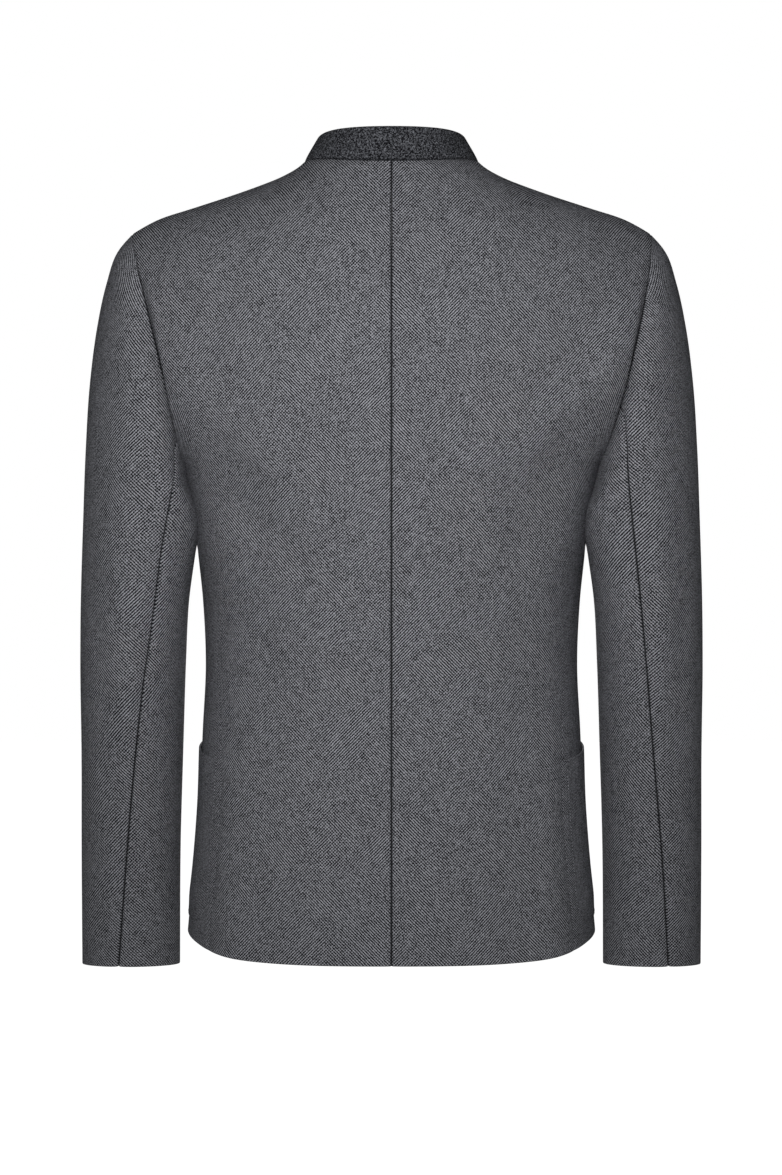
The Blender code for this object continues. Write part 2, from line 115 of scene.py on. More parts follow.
# Directions in which the cloth reaches its upper edge behind, mirrored in front
ROLL_AT_NECK_POINT = np.array([0.0, 0.60, -0.04])
ROLL_AT_ARMHOLE = np.array([0.0, 0.42, -0.02])
LEAN_TO_BACK_NECK = np.array([0.0, 0.16, -0.26])
LEAN_TO_FRONT_NECK = np.array([0.0, 0.10, -0.18])
Roll = namedtuple("Roll", "starts full strength")
BACK_ROLL = Roll(0.0, 1.2, 1.0)
FRONT_ROLL = Roll(0.4, 1.5, 0.7)
LEAN_AT_FULLEST = 0.3
SLOPE_STEP = 0.0100
ARMHOLE_PULL = 3

# The armhole is the first ring of the sleeve, and the two sides differ a little in the set of it
Ring = namedtuple(
    "Ring",
    "along outer_x outer_y outer_z inner_x inner_y inner_z back_reach front_reach egg bow back_lift",
)
ARMHOLE = Ring(0.000, 0.2265, 0.000, -0.0640, 0.1770, -0.010, -0.2680, 0.0720, 0.0720, 0.12, 1.0, 0.000)
Side = namedtuple("Side", "name sign armhole_bow")
LEFT = Side("left", 1, -0.0015)
RIGHT = Side("right", -1, 0.0060)


def hermite(share, start, end, leave, arrive):
    """Point of a cubic from start to end that leaves and arrives in the given directions."""
    square, cube = share**2, share**3
    return (
        (2 * cube - 3 * square + 1) * start
        + (cube - 2 * square + share) * leave
        + (3 * square - 2 * cube) * end
        + (cube - square) * arrive
    )


def smooth(place, rows):
    """Columns of a table, read at places on a smooth curve through its rows."""
    table = np.array(rows, dtype=float)
    place = np.asarray(place, dtype=float)
    places, values = table[:, 0], table[:, 1:]
    slopes = np.gradient(values, places, axis=0)
    low = np.clip(np.searchsorted(places, place) - 1, 0, len(places) - 2)
    span = (places[low + 1] - places[low])[..., None]
    share = (place - places[low])[..., None] / span
    read = hermite(share, values[low], values[low + 1], span * slopes[low], span * slopes[low + 1])
    return np.moveaxis(read, -1, 0)


def ease(value, start, end):
    """Rises softly from 0 at start to 1 at end."""
    share = np.clip((value - start) / (end - start), 0.0, 1.0)
    return share * share * (3 - 2 * share)


def points(x, y, z):
    return np.stack(np.broadcast_arrays(x, y, z), axis=-1)


def oval(angle):
    """Across and depth of a slightly squared oval of half-size 1, with angle 0 at the back."""
    across = (np.sin(angle) + SQUARING * np.sin(3 * angle)) / (1 - SQUARING)
    depth = (np.cos(angle) - SQUARING * np.cos(3 * angle)) / (1 - SQUARING)
    return across, depth


def body(angle, height):
    half_width, side_forward, back_depth, front_depth = smooth(height, BODY)
    across, depth = oval(angle)
    reach = np.where(depth > 0, back_depth + side_forward, front_depth - side_forward)
    return points(half_width * across, reach * depth - side_forward, height)


def neckline(angle):
    across, _ = oval(angle)
    drop = NECK_FRONT_DROP * ((1 - np.cos(angle)) / 2) ** NECK_DROP_POWER
    height = NECK_BACK_HEIGHT + NECK_SIDE_RISE * np.sin(angle) ** 2 - drop
    return points(NECK_HALF_WIDTH * across, NECK_HALF_DEPTH * np.cos(angle) - NECK_FORWARD, height)


def ring_point(ring, angle, side):
    """Point round one ring of a sleeve: angle 0 outside, a quarter turn behind, a half turn inside."""
    outer = points(ring.outer_x, ring.outer_y, ring.outer_z)
    inner = points(ring.inner_x, ring.inner_y, ring.inner_z)
    behind = np.sin(angle)
    reach = np.where(behind > 0, ring.back_reach, ring.front_reach)
    swell = points(
        side.armhole_bow * ring.bow * behind**2,
        reach * behind * (1 - ring.egg * np.cos(angle)),
        ring.back_lift * behind,
    )
    return (outer + inner) / 2 + (outer - inner) / 2 * np.cos(angle)[..., None] + swell


def top_edge(column, front):
    """Neckline from the centre to the neck point, then the shoulder seam."""
    centre = pi if front else 0.0
    on_neck = neckline(centre + (NECK_POINT - centre) * np.minimum(column / NECK_SHARE, 1))
    share = np.maximum(column - NECK_SHARE, 0) / (1 - NECK_SHARE)
    drop_share = smooth(share, SHOULDER_SEAM)[0]
    neck_point = neckline(np.array(NECK_POINT))
    on_shoulder = neck_point + (SHOULDER_POINT - neck_point) * points(share, share, drop_share)
    return np.where((column < NECK_SHARE)[..., None], on_neck, on_shoulder)


def rib(column, share, front, side):
    """Line up the bodice from the armpit level to the neckline or shoulder seam."""
    angle = pi - column * pi / 2 if front else column * pi / 2
    low = body(angle, UNDERARM)
    slope = (low - body(angle, UNDERARM - SLOPE_STEP)) / SLOPE_STEP
    centre = CHEST if front else BLADES
    edge = ring_point(ARMHOLE, np.array(-pi / 2 if front else pi / 2), side)
    turn = column * CHEST_TURN
    inward = (1 - np.cos(turn)) / (1 - cos(CHEST_TURN))
    middle = centre + (edge - centre) * points(np.sin(turn) / sin(CHEST_TURN), inward, inward)
    top = top_edge(column, front)
    rise = slope * (middle[..., 2:] - low[..., 2:])
    passing = (top - low) / 2 * (1, LEAN_AT_FULLEST, 1)
    neck_lean = LEAN_TO_FRONT_NECK if front else LEAN_TO_BACK_NECK
    roll = FRONT_ROLL if front else BACK_ROLL
    past_neck = (np.maximum(column - NECK_SHARE, 0) / (1 - NECK_SHARE))[..., None]
    over = roll.strength * (ROLL_AT_NECK_POINT + past_neck * (ROLL_AT_ARMHOLE - ROLL_AT_NECK_POINT))
    shoulder = ease(column, roll.starts * NECK_SHARE, roll.full * NECK_SHARE)[..., None]
    arrive = -(neck_lean + shoulder * (over - neck_lean)) / 2
    if front:
        arrive = arrive * (1, -1, 1)
    share = share[..., None]
    lower_half = hermite(2 * share, low, middle, rise, passing)
    upper_half = hermite(2 * share - 1, middle, top, passing, arrive)
    return np.where(share < 0.5, lower_half, upper_half)


def bodice(column, row, front, side):
    """Points on the left bodice: column 0 at the centre, 1 at the side seam or armhole;
    row 0 at the hem, 1 at the armpit, 2 at the neckline or shoulder seam."""
    past_centre = np.where(column < 0, -1, 1)
    column = np.abs(column)
    level = np.minimum(row, 1)
    seam = np.radians(smooth(level, SIDE_SEAM)[0])
    angle = pi - column * (pi - seam) if front else column * seam
    hem = smooth(np.degrees(angle), HEM)[0]
    below = body(angle, hem + level * (UNDERARM - hem))
    share = np.maximum(row - 1, 0)
    turn = pi * (1 - share)
    edge = ring_point(ARMHOLE, -turn if front else turn, side)
    ones = np.ones_like(column)
    pull = edge - rib(ones, share, front, side)
    above = rib(column, share, front, side) + (column**ARMHOLE_PULL)[..., None] * pull
    return np.where((row < 1)[..., None], below, above) * points(past_centre, 1, 1)


# Cloth as it is made up: walls, seams that sink into a fine groove, and folded edges that round off. The
# mesh is finer at the edges.
CLOTH = 0.0020
GROOVE_DEPTH = 0.0020
GROOVE_WIDTH = 0.0008
# The next width is how far the shade painted into the cloth's colour reaches from each seam
PAINTED_SHADE_WIDTH = 0.0007
SEAM_SINK = 0.0008
SEAM_SINK_WIDTH = 0.0050
SEAM_TURN = 0.0016
FOLD_ROUNDING = 0.94
LEAST_WALL = 0.0001
CREASE_FADE = 0.0080
CREASE_RISE = 0.4
EDGE_DISTANCES = np.array([0.0, 0.25, 0.65, 1.2, 1.9, 2.8, 4.0, 5.6, 7.6]) / 1000
CLOTH_STEP = 0.0034


def stations(length):
    """Shares of the way across a panel, close together at both edges and even between them."""
    near = EDGE_DISTANCES / length
    between = round((1 - 2 * near[-1]) * length / CLOTH_STEP)
    return np.concatenate([near[:-1], np.linspace(near[-1], 1 - near[-1], between + 1), 1 - near[-2::-1]])


def run(grid, axis):
    """Distance along each line of a grid from its first point."""
    steps = np.linalg.norm(np.diff(grid, axis=axis), axis=-1)
    return np.insert(np.cumsum(steps, axis=axis), 0, 0, axis=axis)


def outward(grid, hand):
    """Unit normals of a grid of points; hand is 1 or -1, whichever makes them point out."""
    normals = hand * np.cross(np.gradient(grid, axis=0), np.gradient(grid, axis=1))
    return normals / np.linalg.norm(normals, axis=-1, keepdims=True)


Crease = namedtuple("Crease", "start_x start_z end_x end_z bow width height")


def relief(x, z, creases):
    """Heights of soft ridges and troughs that run between two places and fade at both ends."""
    total = np.zeros_like(x)
    for crease in creases:
        run_x, run_z = crease.end_x - crease.start_x, crease.end_z - crease.start_z
        length = sqrt(run_x**2 + run_z**2)
        along = ((x - crease.start_x) * run_x + (z - crease.start_z) * run_z) / length**2
        aside = ((x - crease.start_x) * run_z - (z - crease.start_z) * run_x) / length
        aside = aside - crease.bow * 4 * along * (1 - along)
        fade = ease(along, 0.0, CREASE_RISE) * (1 - ease(along, 1 - CREASE_RISE, 1.0))
        total += crease.height * fade * np.exp(-((aside / crease.width) ** 2))
    return total


def from_edges(grid):
    """Distance of every point of a panel from each of its four edges."""
    across, up = run(grid, 1), run(grid, 0)
    return {
        "first_column": across,
        "last_column": across[:, -1:] - across,
        "first_row": up,
        "last_row": up[-1:] - up,
    }


def creased(grid, normals, heights, seams, seam_strength=1.0):
    """Panel with its creases, which die away towards its sunk seams."""
    for edge, away in from_edges(grid).items():
        if edge in seams:
            heights = heights * (1 - seam_strength * (1 - ease(away, 0.0, CREASE_FADE)))
    return grid + heights[..., None] * normals


def towards(grid, centre):
    """Unit directions from the points of a panel to one centre."""
    way = np.array(centre) - grid
    return way / np.linalg.norm(way, axis=-1, keepdims=True)


def made_up(grid, normals, seams, wall=CLOTH, seam_ways=None, seam_strength=1.0):
    """Outer and inner points of a panel that is sewn at its seams and folded at its other edges, and the
    share of painted seam shade on each point. Where two panels meet at an angle, seam_ways gives both the
    same way in."""
    seam_depth = np.zeros(grid.shape[:2])
    rounding = np.zeros(grid.shape[:2])
    nearest = np.full(grid.shape[:2], np.inf)
    for edge, away in from_edges(grid).items():
        if edge in seams:
            groove = GROOVE_DEPTH * np.exp(-((away / GROOVE_WIDTH) ** 2))
            sink = SEAM_SINK * np.exp(-((away / SEAM_SINK_WIDTH) ** 2))
            seam_depth = np.maximum(seam_depth, seam_strength * (groove + sink))
            nearest = np.minimum(nearest, away)
        else:
            short = np.maximum(wall / 2 - away, 0)
            rounding = np.maximum(rounding, FOLD_ROUNDING * (wall / 2 - np.sqrt(wall**2 / 4 - short**2)))
    inward = -normals
    if seam_ways is not None:
        inward = inward + np.exp(-((nearest / SEAM_TURN) ** 2))[..., None] * (seam_ways + normals)
    outer = grid + (seam_depth + rounding)[..., None] * inward
    inner = grid + np.maximum(wall - rounding, seam_depth + rounding + LEAST_WALL)[..., None] * inward
    # The last result is painted shade: its share is greatest on a seam line and fades away from it
    return outer, inner, seam_strength * np.exp(-((nearest / PAINTED_SHADE_WIDTH) ** 2))


def placed(name, data):
    """Object with the given mesh, lamp or camera, put in the scene."""
    made = bpy.data.objects.new(name, data)
    bpy.context.scene.collection.objects.link(made)
    return made


def shell(name, outer, inner, painted_seam_shade, grain, material):
    """Closed sheet between two grids, with the cloth's grain in metres as its UV map."""
    rows, columns = outer.shape[:2]
    count = rows * columns
    index = np.arange(count).reshape(rows, columns)
    corners = (index[:-1, :-1], index[:-1, 1:], index[1:, 1:], index[1:, :-1])
    face = np.stack(corners, axis=-1).reshape(-1, 4)
    rim = np.concatenate([index[0, :-1], index[:-1, -1], index[-1, :0:-1], index[:0:-1, 0]])
    after = np.roll(rim, -1)
    sides = np.stack([after, rim, rim + count, after + count], axis=-1)
    faces = np.concatenate([face, face[:, ::-1] + count, sides])
    mesh = bpy.data.meshes.new(name)
    places = np.concatenate([outer.reshape(-1, 3), inner.reshape(-1, 3)])
    mesh.from_pydata(places.tolist(), [], faces.tolist())
    form = bmesh.new()
    form.from_mesh(mesh)
    bmesh.ops.recalc_face_normals(form, faces=form.faces[:])
    form.to_mesh(mesh)
    form.free()
    corner_points = np.zeros(len(mesh.loops), dtype=np.int32)
    mesh.loops.foreach_get("vertex_index", corner_points)
    flat = grain.reshape(-1, 2)[corner_points % count]
    mesh.uv_layers.new(name="grain").data.foreach_set("uv", flat.astype(np.float32).ravel())
    # Each point keeps the share of shade that is painted on it along the seams
    turned = mesh.attributes.new("painted_seam_shade", "FLOAT", "POINT")
    turned.data.foreach_set("value", np.tile(painted_seam_shade.ravel(), 2).astype(np.float32))
    mesh.shade_smooth()
    mesh.materials.append(material)
    piece = placed(name, mesh)
    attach(piece, "root")
    return piece


def linear(code):
    """Linear colour of an sRGB hex code."""
    shares = [int(code[start:start + 2], 16) / 255 for start in (1, 3, 5)]
    return (*[s / 12.92 if s <= 0.04045 else ((s + 0.055) / 1.055) ** 2.4 for s in shares], 1.0)


def feed(tree, node, inputs):
    """Gives a node its inputs, each a value or a link."""
    for socket, source in dict(inputs).items():
        if isinstance(source, bpy.types.NodeSocket):
            tree.links.new(source, node.inputs[socket])
        else:
            node.inputs[socket].default_value = source


def add(tree, kind, inputs=(), **settings):
    """One shader or geometry node with its settings, and its inputs as values or links."""
    node = tree.nodes.new(kind)
    for setting, value in settings.items():
        setattr(node, setting, value)
    feed(tree, node, inputs)
    return node


def new_material(name):
    """A new material, with its node tree and its shader."""
    material = bpy.data.materials.new(name)
    material.use_nodes = True
    return material, material.node_tree, material.node_tree.nodes["Principled BSDF"]


# Colour of the shade painted into the cloth along its seams
PAINTED_SEAM_SHADE_COLOUR = "#1b1c1f"


def with_painted_seam_shade(tree, colour):
    """A colour with shade painted into it along the seams, where the cloth turns in."""
    painted_seam_shade = add(tree, "ShaderNodeAttribute", attribute_name="painted_seam_shade").outputs["Fac"]
    shaded = add(tree, "ShaderNodeMix", {0: painted_seam_shade, 6: colour, 7: linear(PAINTED_SEAM_SHADE_COLOUR)}, data_type="RGBA")
    return shaded.outputs[2]


# Worsted wool in two greys, woven pick and pick: light and dark yarns in turn give fine broken diagonals,
# clouded by the mixed fibres, on a matt face with a faint bloom. The real threads are 0.5 mm apart; they
# are drawn 2 mm apart, which is the spacing that the eye reads from this distance. Along each seam, shade
# is painted into the colour as a fine dark line, where the cloth turns in.
TWILL_SPACING = 0.00197
CROSS_SPACING = 0.00193
WEAVE_STRENGTH = 1.30
WANDER = 0.012
STRAY = 0.0004
FIBRE = 0.0009
FIBRE_STRENGTH = 0.55
SLUB_WIDTH = 0.0010
SLUB_LENGTH = 0.0090
SLUB_APART = 2.7
SLUB_STRENGTH = 0.16
PATCH = 0.045
PATCH_LOW, PATCH_HIGH = 0.38, 0.64
CROSS_LEAST, CROSS_MOST = 0.15, 0.80
CLOUD = 0.035
CLOUD_STRENGTH = 0.10
NOISE_LOW, NOISE_HIGH = 0.3, 0.7
YARN_DARKEST, YARN_LIGHTEST = -0.45, 1.15
DARK_YARN = "#141518"
LIGHT_YARN = "#b8b9c0"
BLOOM = "#c9cad2"

wool, tree, shader = new_material("grey_worsted_wool")
grain = add(tree, "ShaderNodeUVMap", uv_map="grain").outputs[0]
place = add(tree, "ShaderNodeTexCoord").outputs["Object"]

# Broken diagonals both ways, which wander a little and change share from patch to patch
wander = add(tree, "ShaderNodeTexNoise", {"Vector": place, "Scale": 1 / WANDER, "Detail": 1.0})
loose = add(tree, "ShaderNodeVectorMath", {0: wander.outputs["Color"], 1: (STRAY, STRAY, 0)},
            operation="MULTIPLY")
threads = add(tree, "ShaderNodeVectorMath", {0: grain, 1: loose.outputs[0]}, operation="ADD")
split = add(tree, "ShaderNodeSeparateXYZ", {0: threads.outputs[0]})
across, up = split.outputs[0], split.outputs[1]
waves = []
for turn, spacing in (("SUBTRACT", TWILL_SPACING), ("ADD", CROSS_SPACING)):
    line = add(tree, "ShaderNodeMath", {0: across, 1: up}, operation=turn)
    phase = add(tree, "ShaderNodeMath", {0: line.outputs[0], 1: 2 * pi / (sqrt(2) * spacing)},
                operation="MULTIPLY")
    waves.append(add(tree, "ShaderNodeMath", {0: phase.outputs[0]}, operation="SINE").outputs[0])
patch = add(tree, "ShaderNodeTexNoise", {"Vector": place, "Scale": 1 / PATCH, "Detail": 1.0})
share = add(tree, "ShaderNodeMapRange",
            {0: patch.outputs[0], 1: PATCH_LOW, 2: PATCH_HIGH, 3: CROSS_LEAST, 4: CROSS_MOST})
weave = add(tree, "ShaderNodeMix", {0: share.outputs[0], 2: waves[0], 3: waves[1]})

# Mixed fibres, thick and thin places in the yarns of both directions, and clouds
fibres = add(tree, "ShaderNodeTexNoise", {"Vector": place, "Scale": 1 / FIBRE, "Detail": 0.0})
speckle = add(tree, "ShaderNodeMapRange",
              {0: fibres.outputs[0], 1: NOISE_LOW, 2: NOISE_HIGH, 3: -FIBRE_STRENGTH, 4: FIBRE_STRENGTH})
drawn = add(tree, "ShaderNodeMath", {0: weave.outputs[0], 1: WEAVE_STRENGTH, 2: speckle.outputs[0]},
            operation="MULTIPLY_ADD")
for beside, along_thread in ((across, up), (up, across)):
    yarn = add(tree, "ShaderNodeMath", {0: beside, 1: SLUB_WIDTH}, operation="SNAP")
    reach = add(tree, "ShaderNodeMath", {0: along_thread, 1: SLUB_WIDTH / SLUB_APART / SLUB_LENGTH},
                operation="MULTIPLY")
    spot = add(tree, "ShaderNodeCombineXYZ", {0: yarn.outputs[0], 1: reach.outputs[0]})
    slub = add(tree, "ShaderNodeTexNoise",
               {"Vector": spot.outputs[0], "Scale": SLUB_APART / SLUB_WIDTH, "Detail": 0.0})
    uneven = add(tree, "ShaderNodeMapRange",
                 {0: slub.outputs[0], 1: NOISE_LOW, 2: NOISE_HIGH, 3: -SLUB_STRENGTH, 4: SLUB_STRENGTH})
    drawn = add(tree, "ShaderNodeMath", {0: drawn.outputs[0], 1: uneven.outputs[0]}, operation="ADD")
cloud = add(tree, "ShaderNodeTexNoise", {"Vector": place, "Scale": 1 / CLOUD, "Detail": 2.0})
clouded = add(tree, "ShaderNodeMath", {0: cloud.outputs[0], 1: CLOUD_STRENGTH, 2: drawn.outputs[0]},
              operation="MULTIPLY_ADD")
light = add(tree, "ShaderNodeMapRange", {0: clouded.outputs[0], 1: YARN_DARKEST, 2: YARN_LIGHTEST})
colour = add(tree, "ShaderNodeMix", {0: light.outputs[0], 6: linear(DARK_YARN), 7: linear(LIGHT_YARN)},
             data_type="RGBA")
bump = add(tree, "ShaderNodeBump", {"Strength": 0.4, "Distance": 0.0002, "Height": drawn.outputs[0]})
# The base colour carries the shade painted along the seams
feed(tree, shader, {
    "Base Color": with_painted_seam_shade(tree, colour.outputs[2]),
    "Normal": bump.outputs[0],
    "Roughness": 0.92,
    "Specular IOR Level": 0.08,
    "Sheen Weight": 0.012,
    "Sheen Roughness": 0.45,
    "Sheen Tint": linear(BLOOM),
})

# Width of a half, and lengths from the hem to the armpit and to the top, which space the mesh
BODICE_WIDTH = 0.245
BODICE_LENGTHS = (0.0, 0.420, 0.680)
bodice_rows = np.interp(stations(BODICE_LENGTHS[-1]) * BODICE_LENGTHS[-1], BODICE_LENGTHS, (0, 1, 2))

# Fullness beside the armholes, drag lines from them towards the spine, the hollow of the waist and slight
# unevenness below it
BACK_CREASES = (
    Crease(0.2155, -0.060, 0.128, -0.420, 0.000, 0.023, 0.0080),
    Crease(-0.226, -0.060, -0.119, -0.420, 0.000, 0.023, 0.0088),
    Crease(0.186, -0.188, 0.075, -0.290, 0.004, 0.018, 0.0034),
    Crease(0.176, -0.270, 0.052, -0.390, 0.008, 0.020, -0.0030),
    Crease(-0.206, -0.162, -0.090, -0.282, -0.004, 0.016, 0.0046),
    Crease(-0.176, -0.275, -0.070, -0.390, -0.008, 0.020, -0.0022),
    Crease(0.120, -0.300, 0.110, -0.560, 0.006, 0.022, -0.0016),
    Crease(-0.118, -0.310, -0.112, -0.560, -0.006, 0.022, -0.0016),
    Crease(0.090, -0.470, 0.100, -0.680, 0.004, 0.022, 0.0016),
    Crease(-0.070, -0.500, -0.090, -0.690, -0.004, 0.024, 0.0014),
    Crease(0.150, -0.130, 0.030, -0.150, 0.006, 0.020, 0.0014),
    Crease(-0.150, -0.140, -0.040, -0.170, -0.006, 0.022, 0.0010),
)

# The skirt stands out a little over the hips, and takes the fronts and the pockets with it
HIP_FULLNESS = (
    Crease(0.136, -0.440, 0.142, -0.820, 0.000, 0.024, 0.0050),
    Crease(-0.136, -0.440, -0.142, -0.820, 0.000, 0.024, 0.0050),
)


def with_corner(places, corner):
    """Stations of which the nearest one is moved to a corner in the edge of a panel."""
    places[np.argmin(np.abs(places - corner))] = corner
    return places


# Near the shoulder seams the cloth lies over, and there the weave is measured along it
LYING = (0.60, 0.90)
SHOULDERS_ABOVE = -0.1000
GRAIN_EASING = 80


def grain_of(grid, normals):
    """Place in the flat cloth: across from the first column, and straight up, over the shoulder too."""
    steps = np.diff(grid, axis=0)
    lying = ease(np.abs(normals[1:, :, 2]), *LYING) * (grid[1:, :, 2] > SHOULDERS_ABOVE)
    level = np.concatenate([grid[:1, :, 2], np.hypot(steps[..., 2], lying * steps[..., 1])])
    over_shoulder = np.cumsum(level, axis=0) - grid[..., 2]
    for _ in range(GRAIN_EASING):
        over_shoulder[:, 1:-1] += np.diff(over_shoulder, 2, axis=1) / 4
    return np.stack([run(grid * (1, 1, 0), 1), grid[..., 2] + over_shoulder], axis=-1)


EASING_PASSES = 120
EASING_STARTS = 0.050
EASING_ENDS = (0.24, 0.30)


def eased(grid):
    """Panel whose lines across are smoothed where the pull of the neck point would show below it."""
    inside = slice(len(EDGE_DISTANCES), -len(EDGE_DISTANCES))
    down = (run(grid, 0)[-1:] - run(grid, 0))[:, inside, None]
    share = ease(down, 0.0, EASING_STARTS) * (1 - ease(down, *EASING_ENDS)) / 2
    for _ in range(EASING_PASSES):
        middle = (grid[:, inside.start - 1:inside.stop - 1] + grid[:, inside.start + 1:inside.stop + 1]) / 2
        grid[:, inside] += share * (middle - grid[:, inside])
    return grid


# Panels that meet at an angle turn in towards the middle of the armhole or the neck
ARMHOLE_CENTRE = np.array([
    ARMHOLE.outer_x + ARMHOLE.inner_x,
    ARMHOLE.outer_y + ARMHOLE.inner_y,
    ARMHOLE.outer_z + ARMHOLE.inner_z,
]) / 2
NECK_CENTRE = np.array([0.0, -NECK_FORWARD, -0.0500])
NEAR_ARMHOLE = 0.9
NEAR_NECKLINE = 1.9
PAST_NECK_POINT = (0.01, 0.06)


def bodice_seam_ways(grid, normals, column, row, side):
    """Into the neckline and the armhole where those are near, and straight in at the other seams."""
    at_armhole = (row > 1) & (column > NEAR_ARMHOLE)
    at_neckline = (row > NEAR_NECKLINE) * (1 - ease(column - NECK_SHARE, *PAST_NECK_POINT))
    ways = np.where(at_armhole[..., None], towards(grid, ARMHOLE_CENTRE * (side.sign, 1, 1)), -normals)
    return ways + at_neckline[..., None] * (towards(grid, NECK_CENTRE) - ways)


# Where seams are pressed flatter than the rest, with the columns, rows and turns between which that changes
PRESSED = 0.10
SIDE_COLUMNS = (0.4, 0.6)
SIDE_SEAM_TOP = (0.72, 0.92)
ARMHOLE_COLUMNS = (0.80, 0.95)
HEAD_SEAM = 0.35
HEAD_TURNS = (radians(20), radians(70))
NECK_POINT_PRESSED = 0.80
NECK_POINT_REACH = 0.045


def head_seam_strength(turn):
    """Share of the full armhole seam, which is fainter over the shoulder, where turn is 0."""
    return HEAD_SEAM + (1 - HEAD_SEAM) * ease(np.abs(turn), *HEAD_TURNS)


def bodice_seam_strength(column, row):
    """Share of the full seam: the side seams are pressed flat and hardly show."""
    beside = ease(column, *SIDE_COLUMNS) * (1 - ease(row, *SIDE_SEAM_TOP))
    above = ease(column, *ARMHOLE_COLUMNS) * (row > 1)
    at_neck_point = NECK_POINT_PRESSED * np.exp(-(((column - NECK_SHARE) / NECK_POINT_REACH) ** 2))
    side_seam = 1 - (1 - PRESSED) * beside
    head_seam = 1 - above * (1 - head_seam_strength(pi * (2 - row)))
    return side_seam * head_seam * (1 - at_neck_point)


for side in (LEFT, RIGHT):
    column, row = np.meshgrid(with_corner(stations(BODICE_WIDTH), NECK_SHARE), bodice_rows)
    grid = eased(bodice(column, row, False, side)) * (side.sign, 1, 1)
    normals = outward(grid, side.sign)
    seams = ("first_column", "last_column", "last_row")
    strength = bodice_seam_strength(column, row)
    heights = relief(grid[..., 0], grid[..., 2], BACK_CREASES + HIP_FULLNESS)
    grid = creased(grid, normals, heights, seams, strength)
    ways = bodice_seam_ways(grid, normals, column, row, side)
    cloth = made_up(grid, normals, seams, seam_ways=ways, seam_strength=strength)
    back = shell("back_cloth_" + side.name, *cloth, grain_of(grid, normals) * (side.sign, 1), wool)
    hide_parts("back_" + side.name)


# The two fronts, in the same wool. They hang straight from the shoulder to a hem that dips at the centre;
# the left one laps over the right by 20 mm, and the right one sinks under it. Their edges are folded in.
OVERLAP = 0.0200
UNDERLAP_SINK = CLOTH + 0.0009
SINK_START = 0.0600
SINK_END = 0.0220
FIRST_COLUMN = 1 / 14
FRONT_CREASES = (
    Crease(0.185, -0.225, 0.070, -0.330, -0.008, 0.016, 0.0030),
    Crease(0.178, -0.270, 0.080, -0.380, -0.010, 0.018, -0.0028),
    Crease(-0.186, -0.230, -0.078, -0.325, 0.008, 0.017, 0.0028),
    Crease(-0.178, -0.275, -0.085, -0.385, 0.010, 0.018, -0.0026),
    Crease(0.075, -0.120, 0.090, -0.300, 0.008, 0.024, 0.0018),
    Crease(-0.080, -0.125, -0.092, -0.310, -0.008, 0.024, 0.0016),
)


def front_surface(lane, row, side):
    """Points of a front: lane -1 at its lapped edge, 0 at the centre line, 1 at the side seam."""
    first = np.full_like(row, FIRST_COLUMN)
    lap = FIRST_COLUMN * OVERLAP / bodice(first, row, True, side)[..., 0]
    return bodice(np.where(lane < 0, lane * lap, lane), row, True, side)


for side in (LEFT, RIGHT):
    lanes = np.interp(
        stations(BODICE_WIDTH + OVERLAP) * (BODICE_WIDTH + OVERLAP),
        (0, OVERLAP, BODICE_WIDTH + OVERLAP),
        (-1, 0, 1),
    )
    lane, row = np.meshgrid(with_corner(lanes, NECK_SHARE), bodice_rows)
    grid = eased(front_surface(lane, row, side)) * (side.sign, 1, 1)
    normals = outward(grid, -side.sign)
    seams = ("last_column", "last_row")
    strength = bodice_seam_strength(lane, row)
    heights = relief(grid[..., 0], grid[..., 2], FRONT_CREASES + HIP_FULLNESS)
    grid = creased(grid, normals, heights, seams, strength)
    if side is RIGHT:
        under = 1 - ease(-grid[..., 0], SINK_END, SINK_START)
        grid = grid - (UNDERLAP_SINK * under)[..., None] * normals
    ways = bodice_seam_ways(grid, normals, lane, row, side)
    cloth = made_up(grid, normals, seams, seam_ways=ways, seam_strength=strength)
    front = shell("front_cloth_" + side.name, *cloth, grain_of(grid, normals) * (side.sign, 1), wool)
    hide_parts("front_" + side.name)


# The two-piece sleeves, in the same wool. An upper and an under half are joined by a seam down the back of
# the arm and one on its inner front; the head is eased into the armhole and stands a little proud of it.

# Rings from the armhole to the cuff, each set between an outer and an inner line
SLEEVE = (
    ARMHOLE,
    Ring(0.012, 0.2392, 0.000, -0.0795, 0.1772, 0.000, -0.2745, 0.0735, 0.0790, 0.10, 0.7, 0.000),
    Ring(0.030, 0.2490, 0.000, -0.1070, 0.1763, 0.008, -0.2810, 0.0725, 0.0840, 0.06, 0.4, 0.000),
    Ring(0.054, 0.2576, -0.001, -0.1450, 0.1742, 0.016, -0.2900, 0.0690, 0.0880, 0.03, 0.2, 0.000),
    Ring(0.082, 0.2640, -0.002, -0.1900, 0.1698, 0.022, -0.3020, 0.0660, 0.0900, 0.01, 0.0, 0.000),
    Ring(0.122, 0.2685, -0.003, -0.2500, 0.1684, 0.020, -0.3220, 0.0655, 0.0880, 0.00, 0.0, 0.000),
    Ring(0.167, 0.2714, -0.004, -0.3150, 0.1724, 0.014, -0.3460, 0.0655, 0.0830, 0.00, 0.0, 0.000),
    Ring(0.220, 0.2740, -0.006, -0.3800, 0.1786, 0.005, -0.3880, 0.0655, 0.0760, 0.00, 0.0, 0.000),
    Ring(0.276, 0.2754, -0.010, -0.4400, 0.1822, -0.008, -0.4400, 0.0650, 0.0670, 0.00, 0.0, 0.000),
    Ring(0.357, 0.2764, -0.022, -0.5200, 0.1860, -0.022, -0.5200, 0.0580, 0.0580, 0.00, 0.0, 0.000),
    Ring(0.449, 0.2788, -0.038, -0.6100, 0.1900, -0.038, -0.6100, 0.0505, 0.0505, 0.00, 0.0, 0.001),
    Ring(0.556, 0.2810, -0.056, -0.7195, 0.1924, -0.056, -0.7195, 0.0445, 0.0445, 0.00, 0.0, 0.005),
)
CUFF = SLEEVE[-1].along
SLEEVE_LENGTH = CUFF + 0.10

